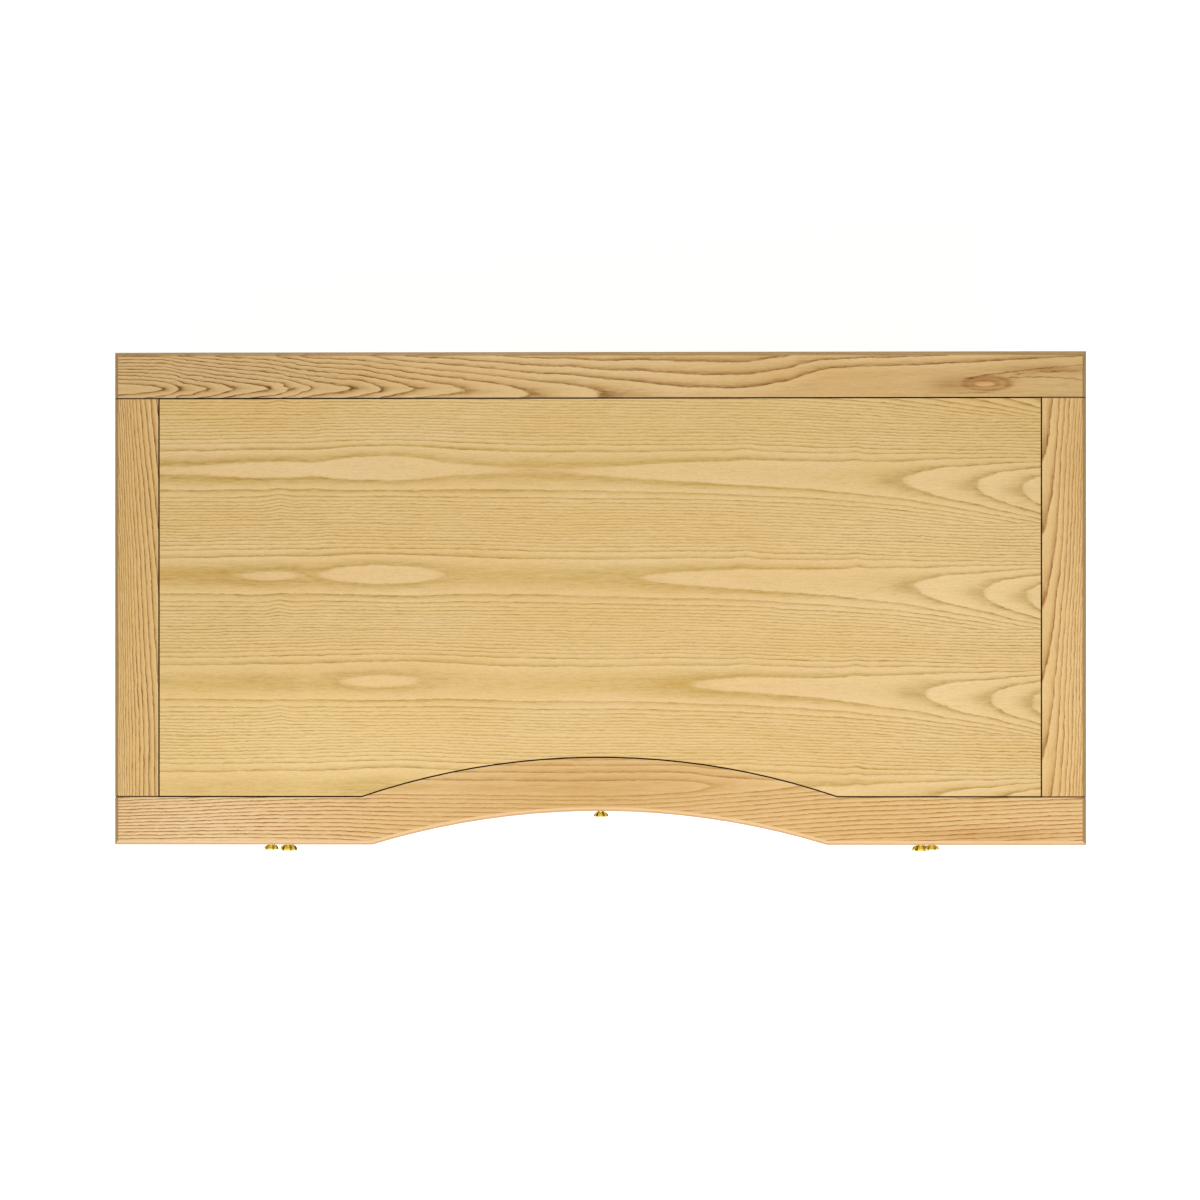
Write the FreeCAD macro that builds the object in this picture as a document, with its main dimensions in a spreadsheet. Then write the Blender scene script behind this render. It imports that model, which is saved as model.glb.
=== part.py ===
import FreeCAD, Part
import math
import os
import Sketcher

doc = FreeCAD.newDocument("executive_desk")
sheet = doc.addObject("Spreadsheet::Sheet", "Sizes")
nodes = []
rows = []


# Lengths that keep their formula on the sheet together with their value

class Size:
    def __init__(self, text, value):
        self.text = text
        self.value = value

    def __add__(self, other):
        other = length(other)
        return Size("(" + self.text + " + " + other.text + ")", self.value + other.value)

    def __sub__(self, other):
        other = length(other)
        return Size("(" + self.text + " - " + other.text + ")", self.value - other.value)

    def __mul__(self, other):
        other = length(other)
        return Size("(" + self.text + " * " + other.text + ")", self.value * other.value)

    def __truediv__(self, other):
        other = length(other)
        return Size("(" + self.text + " / " + other.text + ")", self.value / other.value)

    def __radd__(self, other):
        return length(other) + self

    def __rsub__(self, other):
        return length(other) - self

    def __rmul__(self, other):
        return length(other) * self

    def __neg__(self):
        return Size("(0 - " + self.text + ")", -self.value)


def length(given):
    if isinstance(given, Size):
        return given
    return Size(str(given), float(given))


def root(square):
    return Size("sqrt(" + square.text + ")", math.sqrt(square.value))


def size(name, value):
    row = len(rows) + 1
    rows.append(name)
    sheet.set("A%d" % row, name)
    sheet.set("B%d" % row, str(value))
    sheet.setAlias("B%d" % row, name)
    return Size("Sizes." + name, float(value))


# Overall
top_width = size("top_width", 1600)
top_depth = size("top_depth", 812)
desk_height = size("desk_height", 760)
side_overhang = size("side_overhang", 55)
front_overhang = size("front_overhang", 11)
back_overhang = size("back_overhang", 24)

# Framed top
top_thickness = size("top_thickness", 30)
back_rail_width = size("back_rail_width", 76)
front_rail_width = size("front_rail_width", 78.5)
stile_width = size("stile_width", 73.5)
edge_half_chord = size("edge_half_chord", 374.5)
edge_rise = size("edge_rise", 55.6)
seam_half_chord = size("seam_half_chord", 391)
seam_rise = size("seam_rise", 64.7)
panel_reveal = size("panel_reveal", 2.4)
frame_seam = size("frame_seam", 0.7)
stile_tenon_width = size("stile_tenon_width", 36)
stile_tenon_thickness = size("stile_tenon_thickness", 8)
stile_tenon_rise = size("stile_tenon_rise", 6)
edge_chamfer = size("edge_chamfer", 7.5)
edge_easing = size("edge_easing", 4)
panel_thickness = size("panel_thickness", 20)
tongue_drop = size("tongue_drop", 8)
tongue_thickness = size("tongue_thickness", 6)
tongue_depth = size("tongue_depth", 9)
batten_width = size("batten_width", 50)
batten_thickness = size("batten_thickness", 20)
batten_spacing = size("batten_spacing", 200)
batten_margin = size("batten_margin", 4)

# Joints and clearances
joint_clearance = size("joint_clearance", 0.2)
tenon_length = size("tenon_length", 20)
tenon_shoulder = size("tenon_shoulder", 5)
haunch_margin = size("haunch_margin", 1)
drawer_gap = size("drawer_gap", 2)
running_clearance = size("running_clearance", 0.5)
housing_depth = size("housing_depth", 6)
panel_tongue = size("panel_tongue", 8)

# Pedestals
pedestal_width = size("pedestal_width", 380)
leg_size = size("leg_size", 44)
foot_size = size("foot_size", 30)
leg_chamfer = size("leg_chamfer", 2.5)
rail_thickness = size("rail_thickness", 22)
rail_setback = size("rail_setback", 1.5)
frame_inset = size("frame_inset", 5)
frame_rail_height = size("frame_rail_height", 60)
flat_rail_height = size("flat_rail_height", 18)
flat_rail_depth = size("flat_rail_depth", 40)
bottom_rail_height = size("bottom_rail_height", 40)
floor_clearance = size("floor_clearance", 130)
side_panel_thickness = size("side_panel_thickness", 9)
bottom_board_thickness = size("bottom_board_thickness", 12)
bottom_board_rise = size("bottom_board_rise", 20)
modesty_clearance = size("modesty_clearance", 330)
kneehole_tenon = size("kneehole_tenon", 9)
kneehole_tenon_width = size("kneehole_tenon_width", 22)

# Glides and screws
glide_height = size("glide_height", 4)
glide_diameter = size("glide_diameter", 26)
glide_pin_diameter = size("glide_pin_diameter", 6)
glide_pin_length = size("glide_pin_length", 16)
screw_diameter = size("screw_diameter", 4.5)
screw_head_diameter = size("screw_head_diameter", 9)
screw_head_height = size("screw_head_height", 3)
screw_bite = size("screw_bite", 17)
counterbore_diameter = size("counterbore_diameter", 11)
screw_spacing = size("screw_spacing", 200)
screw_edge = size("screw_edge", 12)

# Drawers
top_drawer_opening = size("top_drawer_opening", 116)
drawer_front_thickness = size("drawer_front_thickness", 20)
drawer_front_chamfer = size("drawer_front_chamfer", 1.6)
drawer_side_thickness = size("drawer_side_thickness", 15)
drawer_back_thickness = size("drawer_back_thickness", 12)
drawer_bottom_thickness = size("drawer_bottom_thickness", 6)
drawer_bottom_rise = size("drawer_bottom_rise", 8)
drawer_groove_depth = size("drawer_groove_depth", 6)
drawer_side_lift = size("drawer_side_lift", 8)
drawer_side_drop = size("drawer_side_drop", 14)
drawer_back_inset = size("drawer_back_inset", 12)
tail_length = size("tail_length", 13)
tail_taper = size("tail_taper", 1.8)
tail_share = size("tail_share", 0.62)
dovetail_width = size("dovetail_width", 10)
dovetail_neck = size("dovetail_neck", 7)
side_housing = size("side_housing", 4)
top_drawer_depth = size("top_drawer_depth", 620)
file_drawer_depth = size("file_drawer_depth", 560)
file_side_height = size("file_side_height", 280)
centre_drawer_depth = size("centre_drawer_depth", 460)

# Wooden runners and telescopic slides
runner_height = size("runner_height", 16)
runner_reach = size("runner_reach", 10)
runner_lift = size("runner_lift", 40)
runner_tongue = size("runner_tongue", 10)
cleat_height = size("cleat_height", 64)
slide_lift = size("slide_lift", 150)
slide_height = size("slide_height", 45)
slide_thickness = size("slide_thickness", 12.7)
slide_gauge = size("slide_gauge", 1.2)
slide_clearance = size("slide_clearance", 0.4)
slide_length = size("slide_length", 500)
slide_start = size("slide_start", 26)
slide_fixed_lip = size("slide_fixed_lip", 3.5)
slide_middle_lip = size("slide_middle_lip", 2)
slide_middle_margin = size("slide_middle_margin", 8)

# Knobs
small_knob_diameter = size("small_knob_diameter", 24)
small_knob_reach = size("small_knob_reach", 24)
large_knob_diameter = size("large_knob_diameter", 30)
large_knob_reach = size("large_knob_reach", 37)
knob_stud_diameter = size("knob_stud_diameter", 4)
knob_stud_length = size("knob_stud_length", 14)
file_knob_lift = size("file_knob_lift", 268)

doc.recompute()

# Main planes, with the origin on the floor under the middle of the whole object
knob_past = large_knob_reach - front_overhang
front_edge = (knob_past - top_depth) / 2
back_edge = (knob_past + top_depth) / 2
half_width = top_width / 2
top_under = desk_height - top_thickness
frame_front = front_edge + front_rail_width
frame_back = back_edge - back_rail_width
frame_side = half_width - stile_width
edge_radius = (edge_half_chord * edge_half_chord + edge_rise * edge_rise) / (edge_rise * 2)
edge_centre = front_edge + edge_rise - edge_radius
seam_radius = (seam_half_chord * seam_half_chord + seam_rise * seam_rise) / (seam_rise * 2)
tongue_top = desk_height - tongue_drop
tongue_bottom = tongue_top - tongue_thickness

outer_face = half_width - side_overhang
inner_face = outer_face - pedestal_width
leg_front = front_edge + front_overhang
leg_back = back_edge - back_overhang
opening_inner = inner_face + leg_size
opening_outer = outer_face - leg_size
opening_width = opening_outer - opening_inner
pedestal_centre = (inner_face + outer_face) / 2
rail_front = leg_front + leg_size
rail_back = leg_back - leg_size
frame_rail_low = floor_clearance + frame_rail_height
frame_rail_high = top_under - frame_rail_height
front_top_low = top_under - flat_rail_height
top_opening_low = front_top_low - top_drawer_opening
file_opening_high = top_opening_low - flat_rail_height
file_opening_low = floor_clearance + bottom_rail_height
board_low = floor_clearance + bottom_board_rise
board_high = board_low + bottom_board_thickness
back_plane = leg_back - frame_inset - rail_thickness
panel_margin = (rail_thickness - side_panel_thickness) / 2
slide_middle = file_opening_low + slide_lift
runner_low = top_opening_low + runner_lift


# Building steps

def bind(feature, prop, amount):
    feature.setExpression(prop, length(amount).text)


def new_body(label):
    body = doc.addObject("PartDesign::Body", label)
    body.Label = label
    return body


def place_at(feature, x, y, z):
    bind(feature, "Placement.Base.x", x)
    bind(feature, "Placement.Base.y", y)
    bind(feature, "Placement.Base.z", z)


def block(body, kind, x, y, z):
    feature = body.newObject("PartDesign::" + kind + "Box", "Block")
    bind(feature, "Length", x[1] - x[0])
    bind(feature, "Width", y[1] - y[0])
    bind(feature, "Height", z[1] - z[0])
    place_at(feature, x[0], y[0], z[0])


def add(body, x, y, z):
    block(body, "Additive", x, y, z)


def cut(body, x, y, z):
    block(body, "Subtractive", x, y, z)


def grown(span, amount):
    return (span[0] - amount, span[1] + amount)


def round_post(body, kind, diameter, x, y, z):
    feature = body.newObject("PartDesign::" + kind + "Cylinder", "Round")
    bind(feature, "Radius", length(diameter) / 2)
    bind(feature, "Height", z[1] - z[0])
    place_at(feature, x, y, z[0])


def wedge(body, kind, x_start, z_start, x_end, z_end, y):
    # A prism along Y that changes from one rectangle to another
    feature = body.newObject("PartDesign::" + kind + "Wedge", "Wedge")
    bind(feature, "Xmin", x_start[0])
    bind(feature, "Xmax", x_start[1])
    bind(feature, "Zmin", z_start[0])
    bind(feature, "Zmax", z_start[1])
    bind(feature, "X2min", x_end[0])
    bind(feature, "X2max", x_end[1])
    bind(feature, "Z2min", z_end[0])
    bind(feature, "Z2max", z_end[1])
    bind(feature, "Ymin", y[0])
    bind(feature, "Ymax", y[1])
    return feature


def origin_plane(body, role):
    for feature in body.Origin.OriginFeatures:
        if feature.Role == role:
            return feature


def outline(body, corners, arcs=None, height=0):
    # A closed outline on the body's XY plane; arcs maps a side to its radius and turning sense
    arcs = arcs or {}
    sketch = body.newObject("Sketcher::SketchObject", "Outline")
    sketch.AttachmentSupport = (origin_plane(body, "XY_Plane"), [""])
    sketch.MapMode = "FlatFace"
    bind(sketch, "AttachmentOffset.Base.z", height)
    points = []
    for x, y in corners:
        points.append((length(x), length(y)))
    ends = []
    for side, start in enumerate(points):
        finish = points[(side + 1) % len(points)]
        first = FreeCAD.Vector(start[0].value, start[1].value, 0)
        last = FreeCAD.Vector(finish[0].value, finish[1].value, 0)
        if side not in arcs:
            sketch.addGeometry(Part.LineSegment(first, last), False)
            ends.append((1, 2))
            continue
        radius, turn = arcs[side]
        chord = last.sub(first)
        half = chord.Length / 2
        left = FreeCAD.Vector(-chord.y, chord.x, 0).normalize()
        middle = (first + last) * 0.5
        centre = middle + left * (turn * math.sqrt(radius.value ** 2 - half ** 2))
        angles = []
        for point in (first, last):
            angles.append(math.atan2(point.y - centre.y, point.x - centre.x))
        circle = Part.Circle(centre, FreeCAD.Vector(0, 0, 1), radius.value)
        if turn > 0:
            sketch.addGeometry(Part.ArcOfCircle(circle, angles[0], angles[1]), False)
            ends.append((1, 2))
        else:
            sketch.addGeometry(Part.ArcOfCircle(circle, angles[1], angles[0]), False)
            ends.append((2, 1))
    for side in range(len(points)):
        following = (side + 1) % len(points)
        meeting = Sketcher.Constraint("Coincident", side, ends[side][1], following, ends[following][0])
        sketch.addConstraint(meeting)
    for side, (x, y) in enumerate(points):
        for word, amount, axis in (("DistanceX", x, -2), ("DistanceY", y, -1)):
            if amount.text == "0":
                sketch.addConstraint(Sketcher.Constraint("PointOnObject", side, ends[side][0], axis))
                continue
            name = word + str(side)
            distance = Sketcher.Constraint(word, -1, 1, side, ends[side][0], amount.value)
            number = sketch.addConstraint(distance)
            sketch.renameConstraint(number, name)
            sketch.setExpression("Constraints." + name, amount.text)
    for side, (radius, turn) in arcs.items():
        name = "Radius" + str(side)
        number = sketch.addConstraint(Sketcher.Constraint("Radius", side, radius.value))
        sketch.renameConstraint(number, name)
        sketch.setExpression("Constraints." + name, radius.text)
    return sketch


def raise_outline(body, corners, arcs, z):
    pad = body.newObject("PartDesign::Pad", "Raised")
    pad.Profile = outline(body, corners, arcs, z[0])
    bind(pad, "Length", z[1] - z[0])
    body.Tip = pad


def sink_outline(body, corners, arcs, z):
    pocket = body.newObject("PartDesign::Pocket", "Sunk")
    pocket.Profile = outline(body, corners, arcs, z[1])
    bind(pocket, "Length", z[1] - z[0])
    body.Tip = pocket


def ease(body, amount, wanted):
    doc.recompute()
    last = body.Tip
    names = []
    for number, edge in enumerate(last.Shape.Edges, 1):
        if wanted(edge.BoundBox):
            names.append("Edge%d" % number)
    chamfer = body.newObject("PartDesign::Chamfer", "Eased")
    chamfer.Base = (last, names)
    bind(chamfer, "Size", amount)


def mirror_of(source, label, centre=0):
    mirrored = doc.addObject("Part::Mirroring", label)
    mirrored.Label = label
    mirrored.Source = source
    mirrored.Normal = FreeCAD.Vector(1, 0, 0)
    bind(mirrored, "Base.x", centre)
    return mirrored


def group(label, members):
    together = doc.addObject("Part::Compound", label)
    together.Label = label
    together.Links = members
    return together


def keep(item):
    nodes.append(item)
    return item


def keep_pair(item):
    # A right-hand piece and its left-hand twin
    keep(item)
    keep(mirror_of(item, item.Label.replace("right_", "left_")))


def near(first, second):
    return abs(first - second) < 0.01


def mirrored_span(span, centre):
    return (centre * 2 - span[1], centre * 2 - span[0])


# Screws that hold the top, placed from below through the rails

screw_seat = front_top_low
screw_tip = top_under + screw_bite
screw_places = []
for sign in (-1, 1):
    for shift in (-1, 1):
        screw_x = pedestal_centre * sign + screw_spacing * shift / 2
        screw_places.append((screw_x, leg_front + rail_setback + flat_rail_depth - screw_edge))
        screw_places.append((screw_x, back_plane + rail_thickness / 2))
kneehole_screw_y = front_edge + edge_rise + front_overhang + rail_setback + flat_rail_depth - screw_edge
for sign in (-1, 1):
    screw_places.append((screw_spacing * sign / 4, kneehole_screw_y))
    screw_places.append((screw_spacing * sign, back_plane + rail_thickness / 2))


def screw_holes(body, wanted):
    for x, y in screw_places:
        if wanted(x.value, y.value):
            round_post(body, "Subtractive", screw_diameter + joint_clearance * 2, x, y,
                       (screw_seat - 1, screw_tip + joint_clearance))


# Framed top

stile_middle = half_width - stile_width / 2
tenon_span = (stile_middle - stile_tenon_width / 2, stile_middle + stile_tenon_width / 2)
top_tenon_z = (top_under + stile_tenon_rise, top_under + stile_tenon_rise + stile_tenon_thickness)
tongue_z = (tongue_bottom, tongue_top)
groove_z = grown(tongue_z, joint_clearance)
groove_end = frame_side + tongue_depth + joint_clearance
arris_height = desk_height - edge_chamfer


def lower_arris(box):
    return near(box.ZMin, arris_height.value) and near(box.ZMax, arris_height.value)


front_rail = new_body("top_front_rail")
front_corners = [
    (-half_width, front_edge),
    (-edge_half_chord, front_edge),
    (edge_half_chord, front_edge),
    (half_width, front_edge),
    (half_width, frame_front),
    (seam_half_chord, frame_front),
    (-seam_half_chord, frame_front),
    (-half_width, frame_front),
]
front_arcs = {1: (edge_radius, -1), 5: (seam_radius, 1)}
raise_outline(front_rail, front_corners, front_arcs, (top_under, desk_height))
ease(front_rail, edge_chamfer, lambda box: near(box.ZMin, desk_height.value) and (
    near(abs(box.Center.x), half_width.value) or near(box.YMin, front_edge.value)))
ease(front_rail, edge_easing, lower_arris)
groove_front = frame_front - tongue_depth - joint_clearance
groove_corners = [
    (-groove_end, groove_front),
    (-seam_half_chord, groove_front),
    (seam_half_chord, groove_front),
    (groove_end, groove_front),
    (groove_end, frame_front + seam_rise + 5),
    (-groove_end, frame_front + seam_rise + 5),
]
sink_outline(front_rail, groove_corners, {1: (seam_radius, -1)}, groove_z)
for sign in (-1, 1):
    mortise_x = grown(tenon_span, joint_clearance)
    if sign < 0:
        mortise_x = mirrored_span(mortise_x, length(0))
    cut(front_rail, mortise_x, (frame_front - tenon_length - joint_clearance, frame_front + 1),
        grown(top_tenon_z, joint_clearance))
screw_holes(front_rail, lambda x, y: y < 0)
keep(front_rail)

back_rail = new_body("top_back_rail")
add(back_rail, (-half_width, half_width), (frame_back, back_edge), (top_under, desk_height))
ease(back_rail, edge_chamfer, lambda box: near(box.ZMin, desk_height.value) and (
    near(abs(box.Center.x), half_width.value) or near(box.YMin, back_edge.value)))
ease(back_rail, edge_easing, lower_arris)
cut(back_rail, (-groove_end, groove_end), (frame_back - 1, frame_back + tongue_depth + joint_clearance),
    groove_z)
for sign in (-1, 1):
    mortise_x = grown(tenon_span, joint_clearance)
    if sign < 0:
        mortise_x = mirrored_span(mortise_x, length(0))
    cut(back_rail, mortise_x, (frame_back - 1, frame_back + tenon_length + joint_clearance),
        grown(top_tenon_z, joint_clearance))
screw_holes(back_rail, lambda x, y: y > 0)
keep(back_rail)

stile = new_body("top_right_stile")
stile_y = (frame_front + frame_seam, frame_back - frame_seam)
add(stile, (frame_side, half_width), stile_y, (top_under, desk_height))
ease(stile, edge_chamfer, lambda box: near(box.ZMin, desk_height.value) and near(box.XMin, half_width.value))
ease(stile, edge_easing, lower_arris)
cut(stile, (frame_side - 1, groove_end), grown(stile_y, 1), groove_z)
add(stile, tenon_span, (frame_front - tenon_length, frame_back + tenon_length), top_tenon_z)
keep_pair(stile)

panel = new_body("top_panel")
panel_half = frame_side - panel_reveal
panel_front = frame_front + panel_reveal
panel_back = frame_back - panel_reveal


def panel_outline(half, front, back):
    return [
        (-half, front),
        (-seam_half_chord, front),
        (seam_half_chord, front),
        (half, front),
        (half, back),
        (-half, back),
    ]


raise_outline(panel, panel_outline(panel_half, panel_front, panel_back), {1: (seam_radius, -1)},
              (desk_height - panel_thickness, desk_height))
tongue_outline = panel_outline(frame_side + tongue_depth, frame_front - tongue_depth,
                               frame_back + tongue_depth)
raise_outline(panel, tongue_outline, {1: (seam_radius, -1)}, tongue_z)
keep(panel)

battens = []
for step in (-1, 0, 1):
    batten = new_body("top_batten_%d" % (step + 2))
    batten_x = batten_spacing * step
    add(batten, (batten_x - batten_width / 2, batten_x + batten_width / 2),
        (frame_front + seam_rise + batten_margin, frame_back - batten_margin),
        (desk_height - panel_thickness - batten_thickness, desk_height - panel_thickness))
    battens.append(batten)
keep(group("top_battens", battens))

screws = []
for x, y in screw_places:
    screw = new_body("top_screw_%d" % (len(screws) + 1))
    round_post(screw, "Additive", screw_diameter, x, y, (screw_seat - 1, screw_tip))
    round_post(screw, "Additive", screw_head_diameter, x, y, (screw_seat - screw_head_height, screw_seat))
    screws.append(screw)
keep(group("top_screws", screws))


# Right pedestal: rails with tenons, and the mortises that the legs take from them

mortises = {"front_inner": [], "front_outer": [], "back_inner": [], "back_outer": []}


def mortise(leg, x, y, z):
    mortises[leg].append((grown(x, joint_clearance), grown(y, joint_clearance), grown(z, joint_clearance)))


def cross_rail(label, y, z, legs, shoulder_z):
    # A rail along X between two legs of one pedestal
    rail = new_body(label)
    add(rail, (opening_inner, opening_outer), y, z)
    tenon_y = (y[0] + tenon_shoulder, y[1] - tenon_shoulder)
    tenon_z = (z[0] + shoulder_z, z[1] - shoulder_z)
    add(rail, (opening_inner - tenon_length, opening_outer + tenon_length), tenon_y, tenon_z)
    mortise(legs[0], (opening_inner - tenon_length, opening_inner), tenon_y, tenon_z)
    mortise(legs[1], (opening_outer, opening_outer + tenon_length), tenon_y, tenon_z)
    return rail


def long_rail(label, x, z, legs, shoulder_z):
    # A rail along Y between a front leg and a back leg
    rail = new_body(label)
    add(rail, x, (rail_front, rail_back), z)
    tenon_x = (x[0] + tenon_shoulder, x[1] - tenon_shoulder)
    tenon_z = (z[0] + shoulder_z, z[1] - shoulder_z)
    add(rail, tenon_x, (rail_front - tenon_length, rail_back + tenon_length), tenon_z)
    mortise(legs[0], tenon_x, (rail_front - tenon_length, rail_front), tenon_z)
    mortise(legs[1], tenon_x, (rail_back, rail_back + tenon_length), tenon_z)
    return rail


front_legs = ("front_inner", "front_outer")
back_legs = ("back_inner", "back_outer")
flat_y = (leg_front + rail_setback, leg_front + rail_setback + flat_rail_depth)
low_y = (leg_front + rail_setback, leg_front + rail_setback + rail_thickness)
back_y = (back_plane, back_plane + rail_thickness)
low_z = (floor_clearance, frame_rail_low)
high_z = (frame_rail_high, top_under)
board_z = (board_low, board_high)
inner_rail_x = (inner_face + frame_inset, inner_face + frame_inset + rail_thickness)
outer_rail_x = mirrored_span(inner_rail_x, pedestal_centre)
groove_reach = panel_tongue + joint_clearance
haunch = groove_reach + haunch_margin
board_tongue = panel_tongue - rail_setback * 2
board_groove = board_tongue + joint_clearance

front_top = cross_rail("right_front_top_rail", flat_y, (front_top_low, top_under), front_legs, tenon_shoulder)
screw_holes(front_top, lambda x, y: x > 0)
front_divider = cross_rail("right_front_divider", flat_y, (file_opening_high, top_opening_low), front_legs,
                           tenon_shoulder)
front_bottom = cross_rail("right_front_bottom_rail", low_y, (floor_clearance, file_opening_low), front_legs,
                          tenon_shoulder)
cut(front_bottom, grown((opening_inner, opening_outer), 1), (low_y[1] - groove_reach, low_y[1] + 1),
    grown(board_z, joint_clearance))
keep_pair(group("right_front_rails", [front_top, front_divider, front_bottom]))

frame_rails = []
back_top = cross_rail("right_back_top_rail", back_y, high_z, back_legs, haunch)
panel_slot_y = (back_plane + panel_margin - joint_clearance,
                back_plane + panel_margin + side_panel_thickness + joint_clearance)
opening_x = (opening_inner, opening_outer)
cut(back_top, grown(opening_x, 1), panel_slot_y, (frame_rail_high - 1, frame_rail_high + groove_reach))
screw_holes(back_top, lambda x, y: x > 0 and y > 0)
for x, y in screw_places:
    if x.value > opening_inner.value and y.value > 0:
        round_post(back_top, "Subtractive", counterbore_diameter, x, y, (frame_rail_high - 1, screw_seat))
frame_rails.append(back_top)
back_bottom = cross_rail("right_back_bottom_rail", back_y, low_z, back_legs, haunch)
cut(back_bottom, grown(opening_x, 1), panel_slot_y, (frame_rail_low - groove_reach, frame_rail_low + 1))
cut(back_bottom, grown(opening_x, 1), (back_plane - 1, back_plane + board_groove),
    grown(board_z, joint_clearance))
frame_rails.append(back_bottom)

slots_x = {}
for where, rail_x, legs, facing in (
    ("inner", inner_rail_x, ("front_inner", "back_inner"), 1),
    ("outer", outer_rail_x, ("front_outer", "back_outer"), -1),
):
    slot_x = (rail_x[0] + panel_margin - joint_clearance,
              rail_x[0] + panel_margin + side_panel_thickness + joint_clearance)
    slots_x[where] = slot_x
    upper = long_rail("right_" + where + "_top_rail", rail_x, high_z, legs, haunch)
    cut(upper, slot_x, (rail_front - 1, rail_back + 1), (frame_rail_high - 1, frame_rail_high + groove_reach))
    lower = long_rail("right_" + where + "_bottom_rail", rail_x, low_z, legs, haunch)
    cut(lower, slot_x, (rail_front - 1, rail_back + 1), (frame_rail_low - groove_reach, frame_rail_low + 1))
    if facing > 0:
        board_slot_x = (rail_x[1] - board_groove, rail_x[1] + 1)
    else:
        board_slot_x = (rail_x[0] - 1, rail_x[0] + board_groove)
    cut(lower, board_slot_x, (rail_front - 1, rail_back + 1), grown(board_z, joint_clearance))
    frame_rails.append(upper)
    frame_rails.append(lower)
keep_pair(group("right_frame_rails", frame_rails))

# Panels set in the grooves of the frames

panel_z = (frame_rail_low - panel_tongue, frame_rail_high + panel_tongue)
for where in ("inner", "outer"):
    side_panel = new_body("right_" + where + "_side_panel")
    add(side_panel, grown(slots_x[where], -joint_clearance),
        (rail_front - panel_tongue, rail_back + panel_tongue), panel_z)
    keep_pair(side_panel)
back_panel = new_body("right_back_panel")
add(back_panel, (opening_inner - panel_tongue, opening_outer + panel_tongue),
    grown(panel_slot_y, -joint_clearance), panel_z)
keep_pair(back_panel)

bottom_board = new_body("right_bottom_board")
add(bottom_board, (inner_rail_x[1] - board_tongue, outer_rail_x[0] + board_tongue),
    (low_y[1] - panel_tongue, back_plane + board_tongue), board_z)
for notch_x in ((inner_face, opening_inner + joint_clearance), (opening_outer - joint_clearance, outer_face)):
    cut(bottom_board, notch_x, (leg_front, rail_front + joint_clearance), grown(board_z, 1))
    cut(bottom_board, notch_x, (rail_back - joint_clearance, leg_back), grown(board_z, 1))
keep_pair(bottom_board)

# Runner strips for the top drawer and cleats for the file drawer slides

runner_z = (runner_low, runner_low + runner_height)
runner_y = (rail_front - tenon_length, rail_back + tenon_length)
inner_runner = new_body("right_inner_runner")
inner_runner_x = (opening_inner - housing_depth, opening_inner + runner_reach)
add(inner_runner, inner_runner_x, runner_y, runner_z)
outer_runner = mirror_of(inner_runner, "right_outer_runner", pedestal_centre)
outer_runner_x = mirrored_span(inner_runner_x, pedestal_centre)
for where, span in (("inner", inner_runner_x), ("outer", outer_runner_x)):
    mortise("front_" + where, span, (runner_y[0], rail_front + 1), runner_z)
    mortise("back_" + where, span, (rail_back - 1, runner_y[1]), runner_z)
cleat_z = (slide_middle - cleat_height / 2, slide_middle + cleat_height / 2)
inner_cleat_x = (opening_inner - rail_thickness, opening_inner)
inner_cleat = long_rail("right_inner_cleat", inner_cleat_x, cleat_z, ("front_inner", "back_inner"),
                        tenon_shoulder)
outer_cleat = long_rail("right_outer_cleat", mirrored_span(inner_cleat_x, pedestal_centre), cleat_z,
                        ("front_outer", "back_outer"), tenon_shoulder)
keep_pair(group("right_drawer_supports", [inner_runner, outer_runner, inner_cleat, outer_cleat]))

# Kneehole: curved rail, modesty frame and runners of the centre drawer

kneehole_radius = edge_radius + front_overhang + rail_setback


def on_arc(radius, x):
    return edge_centre + root(radius * radius - x * x)


# Planes of the centre drawer, whose front follows the concave edge

face_radius = edge_radius + front_overhang
rear_radius = face_radius + drawer_front_thickness
groove_radius = rear_radius - drawer_groove_depth
front_half = inner_face - drawer_gap
box_inner = front_half - drawer_side_thickness
face_apex = edge_centre + face_radius
centre_front_z = (top_opening_low + drawer_gap, front_top_low - drawer_gap)
centre_side_z = (centre_front_z[0] + drawer_side_lift, centre_front_z[1] - drawer_side_drop)
centre_floor_z = (centre_side_z[0] + drawer_bottom_rise,
                  centre_side_z[0] + drawer_bottom_rise + drawer_bottom_thickness)
centre_end = face_apex + centre_drawer_depth
centre_back_y = (centre_end - drawer_back_inset - drawer_back_thickness, centre_end - drawer_back_inset)
centre_knob_z = (top_opening_low + front_top_low) / 2
housing_x = (box_inner + side_housing, front_half - side_housing)
housing_y = (on_arc(rear_radius, front_half) - drawer_groove_depth, on_arc(rear_radius, box_inner) + 1)
housing_z = (centre_floor_z[1] + side_housing, centre_side_z[1] - side_housing)
centre_runner_y = (housing_y[1] + drawer_gap, runner_y[1])
centre_knob_seat = on_arc(face_radius, small_knob_diameter / 2)


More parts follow.
